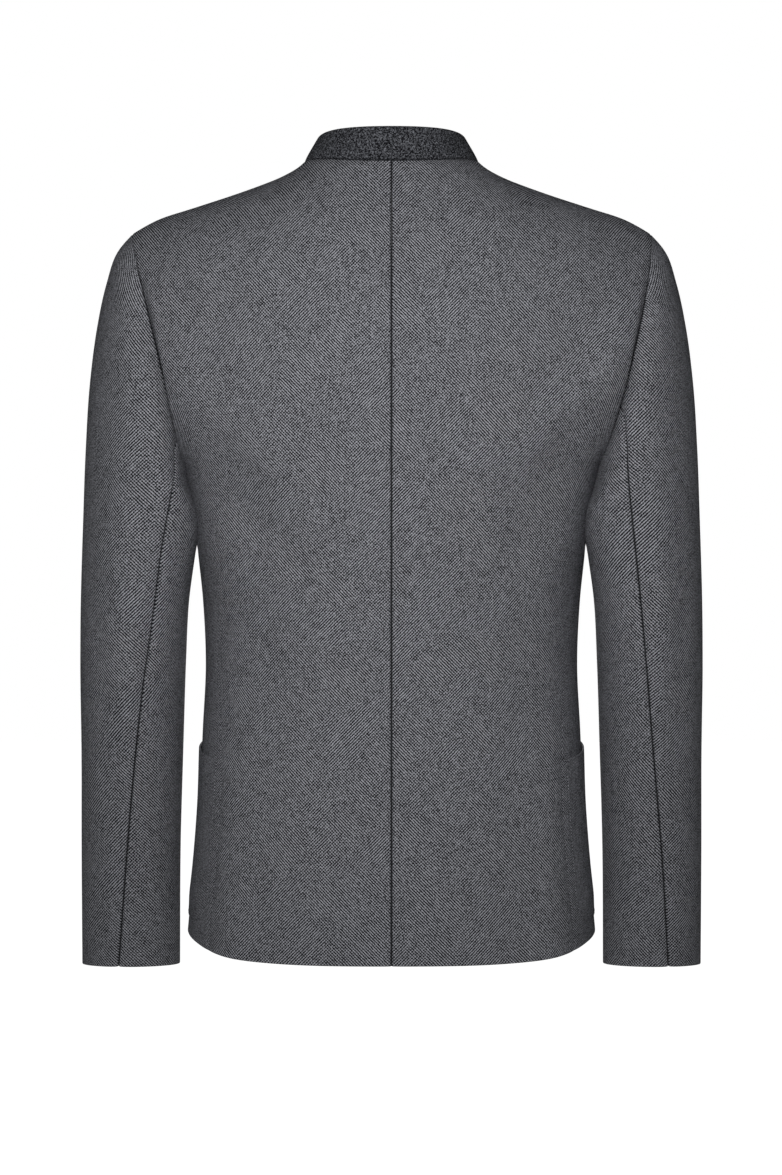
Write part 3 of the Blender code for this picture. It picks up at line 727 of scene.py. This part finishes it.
# Where the two seams run, in degrees round the sleeve
ArmSeam = namedtuple("ArmSeam", "along back_left back_right front")
ARM_SEAMS = (
    ArmSeam(0.000, 137, 118, 225),
    ArmSeam(0.054, 138, 114, 224),
    ArmSeam(0.082, 131, 110, 223),
    ArmSeam(0.122, 124, 107, 222),
    ArmSeam(0.167, 121, 106, 221),
    ArmSeam(0.220, 119, 105, 219),
    ArmSeam(0.300, 108, 99, 217),
    ArmSeam(0.360, 100, 93, 215),
    ArmSeam(0.450, 91, 84, 212),
    ArmSeam(0.556, 80, 75, 210),
)
SLEEVE_HEAD = 0.0100

# The weave is drawn 7% wider here than on the body, as the sleeves look coarser
SLEEVE_THREADS = 0.93
LEAST_HALF_WIDTH = 0.045
ARC_STEPS = 24

# Places on a sleeve: round it from the outer line towards the back, and height. A soft fold runs down the
# back of the arm, and short drag lines cross the crook of the elbow.
SLEEVE_CREASES = {
    LEFT: (
        Crease(0.084, -0.180, 0.092, -0.520, 0.004, 0.016, 0.0018),
        Crease(0.050, -0.330, 0.070, -0.600, -0.004, 0.014, -0.0010),
        Crease(-0.020, -0.360, -0.115, -0.410, 0.006, 0.010, -0.0030),
        Crease(-0.030, -0.395, -0.110, -0.430, 0.005, 0.009, 0.0024),
        Crease(-0.025, -0.430, -0.105, -0.440, -0.003, 0.010, -0.0026),
        Crease(-0.035, -0.470, -0.100, -0.455, -0.004, 0.011, 0.0020),
    ),
    RIGHT: (
        Crease(0.090, -0.200, 0.086, -0.540, 0.003, 0.014, 0.0020),
        Crease(0.056, -0.300, 0.062, -0.560, -0.004, 0.015, -0.0012),
        Crease(-0.022, -0.370, -0.118, -0.400, 0.005, 0.011, -0.0028),
        Crease(-0.028, -0.402, -0.112, -0.426, 0.004, 0.009, 0.0022),
        Crease(-0.020, -0.440, -0.108, -0.448, -0.004, 0.010, -0.0024),
        Crease(-0.034, -0.482, -0.098, -0.462, -0.004, 0.012, 0.0018),
    ),
}
Half = namedtuple("Half", "name width flat_width area")
UPPER = Half("upper_sleeve", 0.230, 0.28, 0.135)
UNDER = Half("under_sleeve", 0.100, 0.14, 0.050)


def sleeve(angle, along, side):
    return ring_point(Ring(along, *smooth(along, SLEEVE)), angle, side)


def sleeve_grain(grid, side, half):
    """Place in the flat cloth: level round the arm, from its outer line, and height."""
    table = np.array(SLEEVE)
    outer_z = table[:, Ring._fields.index("outer_z")]
    ring = Ring(None, *smooth(np.interp(-grid[..., 2], -outer_z, table[:, 0]), SLEEVE))
    half_width = np.maximum((ring.outer_x - ring.inner_x) / 2, LEAST_HALF_WIDTH)
    across = (side.sign * grid[..., 0] - ring.outer_x) / half_width + 1
    back = grid[..., 1] - (ring.outer_y + ring.inner_y) / 2
    reach = np.where((back > 0) | (half is UNDER), ring.back_reach, ring.front_reach)
    turn = np.arctan2(back / reach, across)
    if half is UNDER:
        turn = turn % (2 * pi)
    turns = turn[..., None] * (np.arange(ARC_STEPS) + 0.5) / ARC_STEPS
    pace = np.hypot(half_width[..., None] * np.sin(turns), reach[..., None] * np.cos(turns)).mean(axis=-1)
    return np.stack([turn * pace, grid[..., 2]], axis=-1)


for side in (LEFT, RIGHT):
    along = stations(SLEEVE_LENGTH) * CUFF
    back_left, back_right, before = np.radians(smooth(along, ARM_SEAMS))
    behind = back_left if side is LEFT else back_right
    for half in (UPPER, UNDER):
        start, end = (before - 2 * pi, behind) if half is UPPER else (behind, before)
        share, distance = np.meshgrid(stations(half.width), along)
        angle = start[:, None] + (end - start)[:, None] * share
        grid = sleeve(angle, distance, side) * (side.sign, 1, 1)
        normals = outward(grid, side.sign)
        seams = ("first_column", "last_column", "first_row")
        grain = sleeve_grain(grid, side, half)
        if half is UPPER:
            heights = relief(grain[..., 0], grain[..., 1], SLEEVE_CREASES[side])
            grid = creased(grid, normals, heights, seams)
        ways = towards(grid, ARMHOLE_CENTRE * (side.sign, 1, 1))
        ways = np.where((distance < SLEEVE_HEAD)[..., None], ways, -normals)
        strength = 1 - (1 - head_seam_strength(angle)) * (1 - ease(distance, 0.0, SLEEVE_HEAD))
        cloth = made_up(grid, normals, seams, seam_ways=ways, seam_strength=strength)
        grain = SLEEVE_THREADS * grain * (side.sign, 1)
        tube = shell(f"{half.name}_cloth_{side.name}", *cloth, grain, wool)
        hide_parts(f"{half.name}_{side.name}")


# The stand collar, a band of dark felted wool about 30 mm high, sewn to the neckline and open at the front,
# where its ends are rounded. Felt is thick and fibrous, so its edges are soft and it has no weave.
FELT = 0.0030
COLLAR_HALF_WIDTH = 0.0650
COLLAR_HALF_DEPTH = 0.0710
COLLAR_FORWARD = 0.0080
COLLAR_BACK_HEIGHT = 0.0235
COLLAR_SIDE_DROP = 0.0260
COLLAR_FRONT_DROP = 0.0410
COLLAR_DROP_POWER = 5.5
COLLAR_END = radians(178)
COLLAR_ROUNDING = radians(6)
COLLAR_END_SHARE = 0.70
COLLAR_LENGTH = 0.470
COLLAR_HEIGHT = 0.0300

# Felted wool: matted fibres of several greys, matt, with a soft mottle and a slightly rough surface. Its
# fibres are drawn 0.8 mm apart, far coarser than they are, so that they show.
FELT_TUFT = 0.0014
FELT_FIBRE = 0.0008
FELT_DARKEST, FELT_PALEST = 0.92, 1.36
DARK_FELT = "#0f1013"
PALE_FELT = "#93959c"
felt, tree, shader = new_material("dark_felted_wool")
place = add(tree, "ShaderNodeTexCoord").outputs["Object"]
tufts = add(tree, "ShaderNodeTexNoise", {"Vector": place, "Scale": 1 / FELT_TUFT, "Detail": 3.0})
fibres = add(tree, "ShaderNodeTexNoise", {"Vector": place, "Scale": 1 / FELT_FIBRE, "Detail": 2.0})
matted = add(tree, "ShaderNodeMath", {0: tufts.outputs[0], 1: fibres.outputs[0]}, operation="ADD")
pale = add(tree, "ShaderNodeMapRange", {0: matted.outputs[0], 1: FELT_DARKEST, 2: FELT_PALEST})
colour = add(tree, "ShaderNodeMix", {0: pale.outputs[0], 6: linear(DARK_FELT), 7: linear(PALE_FELT)},
             data_type="RGBA")
bump = add(tree, "ShaderNodeBump", {"Strength": 0.7, "Distance": 0.0005, "Height": matted.outputs[0]})
# The base colour carries shade painted along the seam where the collar meets the neckline
feed(tree, shader, {
    "Base Color": with_painted_seam_shade(tree, colour.outputs[2]),
    "Normal": bump.outputs[0],
    "Roughness": 0.97,
    "Specular IOR Level": 0.06,
    "Sheen Weight": 0.010,
    "Sheen Roughness": 0.6,
})

angles = (2 * stations(COLLAR_LENGTH) - 1) * COLLAR_END
height, angle = np.meshgrid(stations(COLLAR_HEIGHT), angles, indexing="ij")
end = np.maximum(np.abs(angle) - (COLLAR_END - COLLAR_ROUNDING), 0) / COLLAR_ROUNDING
tall = COLLAR_END_SHARE + (1 - COLLAR_END_SHARE) * np.sqrt(np.maximum(1 - end**2, 0))
forward = (1 - np.cos(angle)) / 2
drop = COLLAR_SIDE_DROP * forward**2 + COLLAR_FRONT_DROP * forward**COLLAR_DROP_POWER
upper = points(
    COLLAR_HALF_WIDTH * oval(angle)[0],
    COLLAR_HALF_DEPTH * np.cos(angle) - COLLAR_FORWARD,
    COLLAR_BACK_HEIGHT - drop,
)
lower = neckline(np.abs(angle)) * points(np.sign(angle), 1, 1)
grid = lower + (upper - lower) * (height * tall)[..., None]
normals = outward(grid, 1)
band = made_up(grid, normals, ("first_row",), FELT, towards(grid, NECK_CENTRE))
collar = shell("collar_felt", *band, grain_of(grid, normals), felt)
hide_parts("collar")


# The patch pockets, one on each front, in the same wool. Each lies flat on the front and reaches round
# the side of the body; its edges are folded in, its bottom corners are round and its mouth is slightly open.
POCKET_CLOTH = 0.0016
POCKET_REAR = radians(61)
POCKET_FRONT = radians(142)
POCKET_REAR_TOP = -0.5203
POCKET_FRONT_TOP = -0.5050
POCKET_BOTTOM = -0.6630
POCKET_CORNER_SHARE = 0.13
POCKET_CORNER_RISE = 0.0240
POCKET_WIDTH = 0.200
POCKET_HEIGHT = 0.150

# It stands off the front by the gap and its own wall, less where it is sewn down and more at its mouth
POCKET_OFF = 0.0005
POCKET_CAUGHT = 0.14
POCKET_FLAT = 0.45
POCKET_REAR_FLAT = 0.25
POCKET_MOUTH = 0.0008
POCKET_MOUTH_STARTS = 0.6


def pocket_spot(across, up):
    """Angle and height on a pocket: across 0 at its rear edge, up 0 at its bottom edge."""
    top = POCKET_REAR_TOP + (POCKET_FRONT_TOP - POCKET_REAR_TOP) * across
    near_end = np.maximum(1 - np.minimum(across, 1 - across) / POCKET_CORNER_SHARE, 0)
    bottom = POCKET_BOTTOM + POCKET_CORNER_RISE * (1 - np.sqrt(1 - near_end**2))
    return POCKET_REAR + (POCKET_FRONT - POCKET_REAR) * across, bottom + (top - bottom) * up


def pocket_face(across, up, side):
    """Outer points of a pocket with their normals, and its wall, which is flatter where it is sewn down."""
    grid = body(*pocket_spot(across, up)) * (side.sign, 1, 1)
    normals = outward(grid, side.sign)
    rear, front, bottom = (ease(away, 0.0, POCKET_CAUGHT) for away in (across, 1 - across, up))
    free = POCKET_FLAT + (1 - POCKET_FLAT) * front * bottom
    free = free * (POCKET_REAR_FLAT + (1 - POCKET_REAR_FLAT) * rear)
    gape = POCKET_MOUTH * np.sin(pi * across) * ease(up, POCKET_MOUTH_STARTS, 1)
    height = relief(grid[..., 0], grid[..., 2], HIP_FULLNESS) + (POCKET_OFF + POCKET_CLOTH) * free + gape
    return grid + height[..., None] * normals, normals, POCKET_CLOTH * free


# Sewing thread: a fine twisted yarn, a shade darker than the cloth, with a slight gloss on each stitch
THREAD = "#2b2c30"
THREAD_LIGHT = "#4d4f55"
THREAD_PLY = 0.0004
thread, tree, shader = new_material("dark_sewing_thread")
place = add(tree, "ShaderNodeTexCoord").outputs["Object"]
ply = add(tree, "ShaderNodeTexNoise", {"Vector": place, "Scale": 1 / THREAD_PLY, "Detail": 1.0})
colour = add(tree, "ShaderNodeMix", {0: ply.outputs[0], 6: linear(THREAD), 7: linear(THREAD_LIGHT)},
             data_type="RGBA")
bump = add(tree, "ShaderNodeBump", {"Strength": 0.5, "Distance": 0.0001, "Height": ply.outputs[0]})
feed(tree, shader, {
    "Base Color": colour.outputs[2],
    "Normal": bump.outputs[0],
    "Roughness": 0.6,
    "Specular IOR Level": 0.25,
})

# Stitches: a small thread pill on every point, lying along its "way" and upright to its "face"
STITCH_SIDES = 6
STITCH_RINGS = 5
STITCH_SEED = 11
stitch_tree = bpy.data.node_groups.new("stitches", "GeometryNodeTree")
for name, kind in (
    ("Places", "Geometry"),
    ("Length", "Float"),
    ("Thickness", "Float"),
    ("Unevenness", "Float"),
    ("Thread", "Material"),
):
    stitch_tree.interface.new_socket(name, in_out="INPUT", socket_type="NodeSocket" + kind)
stitch_tree.interface.new_socket("Stitches", in_out="OUTPUT", socket_type="NodeSocketGeometry")
entry = add(stitch_tree, "NodeGroupInput").outputs
pill = add(stitch_tree, "GeometryNodeMeshUVSphere",
           {"Segments": STITCH_SIDES, "Rings": STITCH_RINGS, "Radius": 0.5})
way = add(stitch_tree, "GeometryNodeInputNamedAttribute", {"Name": "way"}, data_type="FLOAT_VECTOR")
face = add(stitch_tree, "GeometryNodeInputNamedAttribute", {"Name": "face"}, data_type="FLOAT_VECTOR")
lying = add(stitch_tree, "FunctionNodeAlignRotationToVector", {"Vector": way.outputs[0]}, axis="X")
upright = add(stitch_tree, "FunctionNodeAlignRotationToVector",
              {"Rotation": lying.outputs[0], "Vector": face.outputs[0]}, axis="Z", pivot_axis="X")
least = add(stitch_tree, "ShaderNodeMath", {0: 1.0, 1: entry["Unevenness"]}, operation="SUBTRACT")
share = add(stitch_tree, "FunctionNodeRandomValue",
            {"Min": least.outputs[0], "Max": 1.0, "Seed": STITCH_SEED}, data_type="FLOAT")
length = add(stitch_tree, "ShaderNodeMath", {0: entry["Length"], 1: share.outputs["Value"]},
             operation="MULTIPLY")
size = add(stitch_tree, "ShaderNodeCombineXYZ",
           {0: length.outputs[0], 1: entry["Thickness"], 2: entry["Thickness"]})
laid = add(stitch_tree, "GeometryNodeInstanceOnPoints",
           {"Points": entry["Places"], "Instance": pill.outputs["Mesh"], "Rotation": upright.outputs[0],
            "Scale": size.outputs[0]})
real = add(stitch_tree, "GeometryNodeRealizeInstances", {0: laid.outputs[0]})
round_thread = add(stitch_tree, "GeometryNodeSetShadeSmooth", {0: real.outputs[0]})
sewn = add(stitch_tree, "GeometryNodeSetMaterial",
           {"Geometry": round_thread.outputs[0], "Material": entry["Thread"]})
add(stitch_tree, "NodeGroupOutput", {0: sewn.outputs[0]})


def stitched(name, places, ways, faces, length, thickness, unevenness=0.2):
    """Makes a piece with one stitch on every place."""
    mesh = bpy.data.meshes.new(name)
    mesh.from_pydata(places.tolist(), [], [])
    for attribute, values in (("way", ways), ("face", faces)):
        mesh.attributes.new(attribute, "FLOAT_VECTOR", "POINT").data.foreach_set(
            "vector", values.astype(np.float32).ravel())
    holder = placed(name + "_places", mesh)
    modifier = holder.modifiers.new("stitches", "NODES")
    modifier.node_group = stitch_tree
    chosen = {"Length": length, "Thickness": thickness, "Unevenness": unevenness, "Thread": thread}
    for socket in stitch_tree.interface.items_tree:
        if socket.name in chosen:
            modifier[socket.identifier] = chosen[socket.name]
    depsgraph = bpy.context.evaluated_depsgraph_get()
    sewn_mesh = bpy.data.meshes.new_from_object(holder.evaluated_get(depsgraph))
    sewn_mesh.name = name
    bpy.data.objects.remove(holder)
    piece = placed(name, sewn_mesh)
    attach(piece, "root")


def evenly(pitch, path, *beside):
    """A path's points at an even pitch, with what else is known along it."""
    length = run(path, 0)
    spots = np.arange(pitch / 2, length[-1], pitch)
    known = (path, *beside)
    return [np.stack([np.interp(spots, length, line) for line in values.T], axis=-1) for values in known]


POCKET_STITCH_INSET = 0.0025
POCKET_STITCH_PITCH = 0.0032
POCKET_STITCH_LENGTH = 0.0026
POCKET_STITCH_THICKNESS = 0.0006
POCKET_STITCH_STEPS = 400

for side in (LEFT, RIGHT):
    across, up = np.meshgrid(stations(POCKET_WIDTH), stations(POCKET_HEIGHT))
    grid, normals, wall = pocket_face(across, up, side)
    cloth = made_up(grid, normals, (), wall)
    pocket = shell("pocket_cloth_" + side.name, *cloth, grain_of(grid, normals) * (side.sign, 1), wool)
    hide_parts("pocket_" + side.name)

    # One row of stitches along the bottom and up the front edge, just inside the fold
    stage = np.linspace(0, 2, POCKET_STITCH_STEPS)
    insets = POCKET_STITCH_INSET + np.array([[-1], [0], [1]]) * POCKET_STITCH_THICKNESS
    across_inset, up_inset = insets / POCKET_WIDTH, insets / POCKET_HEIGHT
    across = np.where(stage < 1, across_inset + (1 - 2 * across_inset) * stage, 1 - across_inset)
    up = np.where(stage < 1, up_inset, up_inset + (1 - up_inset) * (stage - 1))
    lines, _, _ = pocket_face(across, up, side)
    normals = outward(lines, side.sign)
    ways = np.gradient(lines[1], axis=0)
    places = evenly(POCKET_STITCH_PITCH, lines[1], ways, normals[1])
    stitched("pocket_stitches_" + side.name, *places, POCKET_STITCH_LENGTH, POCKET_STITCH_THICKNESS)


# The buttons: five turned discs of dark horn with a dished face, a rounded rim and four holes, sewn with
# dark thread to the right front on the centre line. They pass through worked buttonholes in the left front.
BUTTON_COUNT = 5
BUTTON_TOP = -0.1000
BUTTON_PITCH = 0.1000
BUTTON_RADIUS = 0.0105
BUTTON_HEIGHT = 0.0042
BUTTON_RIM = 0.0022
BUTTON_DISH = 0.0012
BUTTON_OFF = 0.0005
BUTTON_RINGS = 44
BUTTON_SIDES = 56
HOLE_RADIUS = 0.0009
HOLE_OUT = 0.0019
HOLE_SIDES = 14
ROW_STEP = 0.002
CENTRE_STEPS = 801
ProfilePoint = namedtuple("ProfilePoint", "share radius height")
BUTTON_PROFILE = (
    ProfilePoint(0.00, 0.0, BUTTON_HEIGHT - BUTTON_DISH),
    ProfilePoint(0.20, BUTTON_RADIUS - 2 * BUTTON_RIM, BUTTON_HEIGHT - BUTTON_DISH),
    ProfilePoint(0.30, BUTTON_RADIUS - 1.3 * BUTTON_RIM, BUTTON_HEIGHT - 0.3 * BUTTON_DISH),
    ProfilePoint(0.38, BUTTON_RADIUS - 0.8 * BUTTON_RIM, BUTTON_HEIGHT),
    ProfilePoint(0.46, BUTTON_RADIUS - 0.3 * BUTTON_RIM, BUTTON_HEIGHT - 0.2 * BUTTON_DISH),
    ProfilePoint(0.54, BUTTON_RADIUS, BUTTON_HEIGHT - BUTTON_DISH),
    ProfilePoint(0.66, BUTTON_RADIUS - 0.05 * BUTTON_RIM, BUTTON_DISH),
    ProfilePoint(0.76, BUTTON_RADIUS - 0.5 * BUTTON_RIM, 0.1 * BUTTON_DISH),
    ProfilePoint(0.84, BUTTON_RADIUS - BUTTON_RIM, 0.0),
    ProfilePoint(1.00, 0.0, 0.0),
)
MERGE = 1e-6
SHARP = radians(50)
THREAD_STRANDS = (-0.0004, 0.0, 0.0004)
STRAND_THICKNESS = 0.0006
SHANK_THICKNESS = 0.0030
BUTTONHOLE_START = -0.0030
BUTTONHOLE_END = 0.0210
BUTTONHOLE_PITCH = 0.00055
BUTTONHOLE_STITCH = 0.0021
BUTTONHOLE_GAP = 0.0003
BUTTONHOLE_THICKNESS = 0.0006

# Polished dark horn: streaks of brown and near-black that flow through it, with a satin gloss
HORN_STREAK = 0.0050
HORN_DARKEST, HORN_PALEST = 0.38, 0.72
HORN_SMOOTHEST, HORN_ROUGHEST = 0.42, 0.58
DARK_HORN = "#15110e"
PALE_HORN = "#41362b"
horn, tree, shader = new_material("polished_dark_horn")
place = add(tree, "ShaderNodeTexCoord").outputs["Object"]
streak = add(tree, "ShaderNodeTexNoise",
             {"Vector": place, "Scale": 1 / HORN_STREAK, "Detail": 4.0, "Distortion": 1.6})
brown = add(tree, "ShaderNodeMapRange", {0: streak.outputs[0], 1: HORN_DARKEST, 2: HORN_PALEST})
colour = add(tree, "ShaderNodeMix", {0: brown.outputs[0], 6: linear(DARK_HORN), 7: linear(PALE_HORN)},
             data_type="RGBA")
gloss = add(tree, "ShaderNodeMapRange",
            {0: streak.outputs[0], 1: NOISE_LOW, 2: NOISE_HIGH, 3: HORN_SMOOTHEST, 4: HORN_ROUGHEST})
feed(tree, shader, {"Base Color": colour.outputs[2], "Roughness": gloss.outputs[0], "IOR": 1.54})


def turned_button():
    """Mesh of a button that lies face up on its seat, with its four holes."""
    form = bmesh.new()
    edge = [form.verts.new((r, 0, z)) for r, z in smooth(np.linspace(0, 1, BUTTON_RINGS), BUTTON_PROFILE).T]
    edge += [form.edges.new(pair) for pair in zip(edge, edge[1:])]
    bmesh.ops.spin(form, geom=edge, cent=(0, 0, 0), axis=(0, 0, 1), angle=2 * pi, steps=BUTTON_SIDES)
    bmesh.ops.remove_doubles(form, verts=form.verts[:], dist=MERGE)
    bmesh.ops.recalc_face_normals(form, faces=form.faces[:])
    disc = bpy.data.meshes.new("button_disc")
    form.to_mesh(disc)
    form.clear()
    for x in (-HOLE_OUT, HOLE_OUT):
        for y in (-HOLE_OUT, HOLE_OUT):
            bmesh.ops.create_cone(form, cap_ends=True, segments=HOLE_SIDES, radius1=HOLE_RADIUS,
                                  radius2=HOLE_RADIUS, depth=3 * BUTTON_HEIGHT,
                                  matrix=Matrix.Translation((x, y, 0)))
    drills = bpy.data.meshes.new("button_drills")
    form.to_mesh(drills)
    form.free()
    blank, drill = placed("button_blank", disc), placed("button_drill", drills)
    drilled = blank.modifiers.new("holes", "BOOLEAN")
    drilled.object = drill
    drilled.operation = "DIFFERENCE"
    mesh = bpy.data.meshes.new_from_object(blank.evaluated_get(bpy.context.evaluated_depsgraph_get()))
    for piece in (blank, drill):
        bpy.data.objects.remove(piece)
    mesh.materials.clear()
    mesh.materials.append(horn)
    mesh.shade_smooth()
    mesh.set_sharp_from_angle(angle=SHARP)
    return mesh


rows = np.linspace(0, 2, CENTRE_STEPS)
centre_front = bodice(np.zeros_like(rows), rows, True, LEFT)
left_front = BVHTree.FromObject(bpy.data.objects["front_cloth_left"], bpy.context.evaluated_depsgraph_get())
button_mesh = turned_button()
strands, shanks, hole_stitches = [], [], []
for number in range(1, BUTTON_COUNT + 1):
    height = BUTTON_TOP - BUTTON_PITCH * (number - 1)
    row = np.interp(height, centre_front[:, 2], rows)
    below, middle, above = (
        Vector(bodice(np.array(0.0), np.array(row + step), True, LEFT)) for step in (-ROW_STEP, 0, ROW_STEP)
    )
    right = Vector((1, 0, 0))
    normal = right.cross(above - below).normalized()
    seat = Matrix((right, normal.cross(right), normal)).transposed().to_4x4()
    seat.translation = middle + BUTTON_OFF * normal
    mesh = button_mesh.copy()
    mesh.transform(seat)
    button = placed(f"horn_button_{number}", mesh)
    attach(button, "root")
    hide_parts(f"button_{number}")
    for y in (-HOLE_OUT, HOLE_OUT):
        for shift in THREAD_STRANDS:
            spot = seat @ Vector((0, y + shift, BUTTON_HEIGHT - BUTTON_DISH + STRAND_THICKNESS / 3))
            strands.append((spot, right, normal))
    shanks.append((middle + BUTTON_OFF / 2 * normal, normal, right))
    for x in np.arange(BUTTONHOLE_START, BUTTONHOLE_END, BUTTONHOLE_PITCH):
        for up in (-1, 1):
            z = height + up * (BUTTONHOLE_GAP + BUTTONHOLE_STITCH) / 2
            spot, face, _, _ = left_front.ray_cast(Vector((x, -1, z)), Vector((0, 1, 0)))
            hole_stitches.append((spot, right.cross(face), face))
for name, places, length, thickness in (
    ("button_thread", strands, 2 * (HOLE_OUT + HOLE_RADIUS), STRAND_THICKNESS),
    ("button_shanks", shanks, 4 * BUTTON_OFF, SHANK_THICKNESS),
    ("buttonhole_stitches", hole_stitches, BUTTONHOLE_STITCH, BUTTONHOLE_THICKNESS),
):
    stitched(name, *np.array(places).transpose(1, 0, 2), length, thickness)


# The room: a plain pale floor well below the jacket and white all round. A soft round lamp stands between
# the camera and the back, level with the collar and slightly to the left, and an equal one stands in front,
# so the cloth is brightest where it faces them and falls away towards its sides.
FLOOR = -1.45
FLOOR_HALF = 8.0
FILL = 0.06

# Matt white paper, lit evenly, so that the floor shows no edge against the walls
paper, tree, shader = new_material("white_paper")
feed(tree, shader, {
    "Base Color": linear("#f4f4f4"),
    "Roughness": 1.0,
    "Emission Color": (1, 1, 1, 1),
    "Emission Strength": 1.0,
})
mesh = bpy.data.meshes.new("floor")
corners = [(-FLOOR_HALF, -FLOOR_HALF, FLOOR), (FLOOR_HALF, -FLOOR_HALF, FLOOR),
           (FLOOR_HALF, FLOOR_HALF, FLOOR), (-FLOOR_HALF, FLOOR_HALF, FLOOR)]
mesh.from_pydata(corners, [], [(0, 1, 2, 3)])
mesh.materials.append(paper)
floor = placed("floor", mesh)
floor.visible_diffuse = False

world = bpy.data.worlds.new("white_room")
world.use_nodes = True
bpy.context.scene.world = world
tree = world.node_tree
tree.nodes.clear()
seen = add(tree, "ShaderNodeLightPath")
walls = add(tree, "ShaderNodeBackground", {"Color": (1, 1, 1, 1), "Strength": 1.0})
fill = add(tree, "ShaderNodeBackground", {"Color": (0.96, 0.98, 1, 1), "Strength": FILL})
room = add(tree, "ShaderNodeMixShader",
           {0: seen.outputs["Is Camera Ray"], 1: fill.outputs[0], 2: walls.outputs[0]})
add(tree, "ShaderNodeOutputWorld", {0: room.outputs[0]})

LAMP_PLACE = Vector((0.07, 1.60, 0.00))
LAMP_TARGET = Vector((0.00, 0.00, -0.20))
LAMP_SIZE = 0.60
LAMP_POWER = 5.6
LAMP_SPREAD = radians(105)
for name, way in (("key_lamp", 1), ("front_lamp", -1)):
    light = bpy.data.lights.new(name, "AREA")
    light.shape = "DISK"
    light.size = LAMP_SIZE
    light.energy = LAMP_POWER
    light.spread = LAMP_SPREAD
    lamp = placed(name, light)
    lamp.visible_camera = False
    lamp.location = way * LAMP_PLACE
    lamp.rotation_euler = (LAMP_TARGET - way * LAMP_PLACE).to_track_quat("-Z", "Y").to_euler()

# The camera looks at the back from 2.4 m, from a little below the shoulders and slightly down
PHOTO_WIDTH, PHOTO_HEIGHT = 782, 1175
CAMERA_DISTANCE = 2.4
CAMERA_HEIGHT = -0.229
METRES_PER_PIXEL = 0.00088
HORIZON_ROW = 423.0
CENTRE_COLUMN = 391.0
SENSOR = 36.0
focal = CAMERA_DISTANCE / METRES_PER_PIXEL
camera = bpy.data.cameras.new("camera")
camera.sensor_width = SENSOR
camera.lens = focal * SENSOR / PHOTO_HEIGHT
camera.shift_x = (CENTRE_COLUMN - (PHOTO_WIDTH + 1) / 2) / PHOTO_HEIGHT
pitch = atan((PHOTO_HEIGHT / 2 - HORIZON_ROW) / focal)
tripod = placed("camera", camera)
tripod.location = (0, CAMERA_DISTANCE, CAMERA_HEIGHT)
tripod.rotation_euler = (radians(90) - pitch, 0, radians(180))
bpy.context.scene.camera = tripod
bpy.context.scene.view_settings.view_transform = "Standard"
